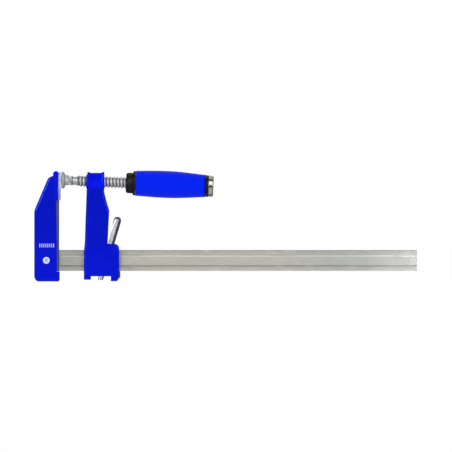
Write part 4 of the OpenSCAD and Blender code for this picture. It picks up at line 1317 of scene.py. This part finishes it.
@dataclass
class Studio:
    """The camera, the lights, the plain surroundings and the floor."""

    scale: float = 0.46104
    centre: Triple = (0.1685, -1.2, -0.0467)
    floor_level: float = -0.1036
    strength: float = 1.5
    bands: Tuple[Pair, ...] = (
        (-180, 0.66), (-158, 0.5), (-146, 0.16), (-104, 0.16), (-92, 0.36), (-20, 0.36), (-13, 0.08),
        (13, 0.08), (19, 1.0), (52, 1.0), (59, 0.07), (81, 0.07), (87, 0.4), (144, 0.4), (155, 0.66),
        (180, 0.66))
    end_shades: Tuple[Pair, ...] = (
        (-180, 0.92), (-56, 0.92), (-48, 0.0), (50, 0.0), (60, 0.6), (180, 0.6))
    end_start: Pair = (0.2, 0.35)
    lamps: Tuple[Pair, ...] = (
        (-180, 0.0), (-40, 0.0), (-33, 1.0), (-21, 1.0), (-15, 0.0), (14, 0.0), (20, 0.5), (28, 0.5),
        (34, 0.0), (180, 0.0))
    lamp_start: Pair = (0.22, 0.32)
    lamp_low: Pair = (0.03, 0.12)
    lamp_high: Pair = (0.18, 0.26)
    lamp_strength: float = 15.0

    def camera(self) -> None:
        """A level camera that looks along +Y without perspective."""
        data = bpy.data.cameras.new("view")
        data.type, data.ortho_scale = "ORTHO", self.scale
        data.clip_start, data.clip_end = 0.01, 20.0
        camera = bpy.data.objects.new("view", data)
        camera.location = self.centre
        camera.rotation_euler = (math.pi / 2, 0, 0)
        bpy.context.scene.collection.objects.link(camera)
        bpy.context.scene.camera = camera

    def light(self, name: str, place: Triple, target: Triple, size: Pair, watts: float) -> None:
        """A soft rectangular light that lights without showing in the reflections.

        Args:
            name: the light's name.
            place: where it hangs, in metres.
            target: the point that it faces.
            size: its width and height in metres.
            watts: its power.
        """
        data = bpy.data.lights.new(name, "AREA")
        data.shape, data.size, data.size_y, data.energy = "RECTANGLE", *size, watts
        lamp = bpy.data.objects.new(name, data)
        lamp.location = place
        lamp.rotation_euler = (Vector(target) - Vector(place)).to_track_quat("-Z", "Y").to_euler()
        lamp.visible_glossy = False
        bpy.context.scene.collection.objects.link(lamp)

    def surroundings(self) -> None:
        """A white backdrop for the eye, and soft bands of light and grey for what the object reflects.

        The bands run along the clamp. They are placed by the angle round the X axis, from the floor in
        front (-90 degrees) over the dark front (0), a broad light panel, the dark ceiling and its back
        (90) to the white wall behind (180). Both ends are dark, with a narrow light before each. They are
        placed by the angle away from the front, to the left below 0 and to the right above it.
        """
        world = bpy.data.worlds.new("studio")
        bpy.context.scene.world = world
        world.use_nodes = True
        graph = Graph(world.node_tree)
        direction = graph.add("ShaderNodeTexCoord").outputs["Generated"]
        x, y, z = graph.add("ShaderNodeSeparateXYZ", {"Vector": direction}).outputs
        aside, front = graph.math("ABSOLUTE", x), graph.math("MULTIPLY", y, -1.0)
        round_x, from_front = graph.math("ARCTAN2", z, front), graph.math("ARCTAN2", x, front)
        ends = graph.times(self.by_angle(graph, from_front, self.end_shades),
                           step(graph, aside, self.end_start))
        bands = graph.times(self.by_angle(graph, round_x, self.bands), self.strength,
                            step(graph, ends, (0.0, 1.0), 1.0, 0.0))
        path = graph.add("ShaderNodeLightPath").outputs
        lamps = graph.times(self.by_angle(graph, from_front, self.lamps), step(graph, aside, self.lamp_start),
                            step(graph, z, self.lamp_low, 0.0, self.lamp_strength),
                            step(graph, z, self.lamp_high, 1.0, 0.0), path["Is Glossy Ray"])
        light = {"Color": (*WHITE, 1.0), "Strength": graph.math("ADD", bands, lamps)}
        walls = graph.add("ShaderNodeBackground", light).outputs["Background"]
        white = graph.add("ShaderNodeBackground", {"Color": (*WHITE, 1.0)}).outputs["Background"]
        mix = graph.add("ShaderNodeMixShader", {"Fac": path["Is Camera Ray"], 1: walls, 2: white})
        graph.add("ShaderNodeOutputWorld", {"Surface": mix.outputs["Shader"]})

    @staticmethod
    def by_angle(graph: Graph, angle: Socket, bands: Sequence[Pair]) -> Socket:
        """Greys placed by an angle.

        Args:
            graph: the world's nodes.
            angle: the angle in radians, from -pi to pi.
            bands: places in degrees with their greys.

        Returns:
            The grey's socket.
        """
        place = graph.span(angle, -math.pi, math.pi)
        return graph.ramp(place, [((degrees + 180) / 360, (grey,) * 3) for degrees, grey in bands])

    def floor(self) -> None:
        """The plain pale floor under the clamp."""
        bm = bmesh.new()
        bmesh.ops.create_grid(bm, x_segments=1, y_segments=1, size=3.0)
        shift(bm, (0.17, 0, self.floor_level))
        mesh = bpy.data.meshes.new("floor")
        bm.to_mesh(mesh)
        bm.free()
        floor = bpy.data.objects.new("floor", mesh)
        floor.data.materials.append(FLOOR_PAINT.material())
        bpy.context.scene.collection.objects.link(floor)
        floor.visible_glossy = False

    def build(self) -> None:
        """Makes the camera, the lights, the walls and the floor."""
        self.camera()
        self.surroundings()
        self.floor()
        middle = (0.17, 0, -0.04)
        self.light("top", (0.17, -0.25, 0.95), middle, (1.6, 0.8), 5)
        self.light("front", (-0.2, -1.3, 0.1), middle, (1.2, 0.8), 6.5)
        bpy.context.scene.view_settings.view_transform = "Standard"


def main() -> None:
    """Builds the clamp and its studio."""
    logging.basicConfig(level=logging.INFO, format="%(name)s: %(message)s")
    Studio().build()
    for part in (Bar(), FixedJaw(), SlidingJaw(), Clutch(), Spindle(), Handle()):
        LOG.info("building %s", type(part).__name__)
        part.build()


if __name__ == "__main__":
    main()
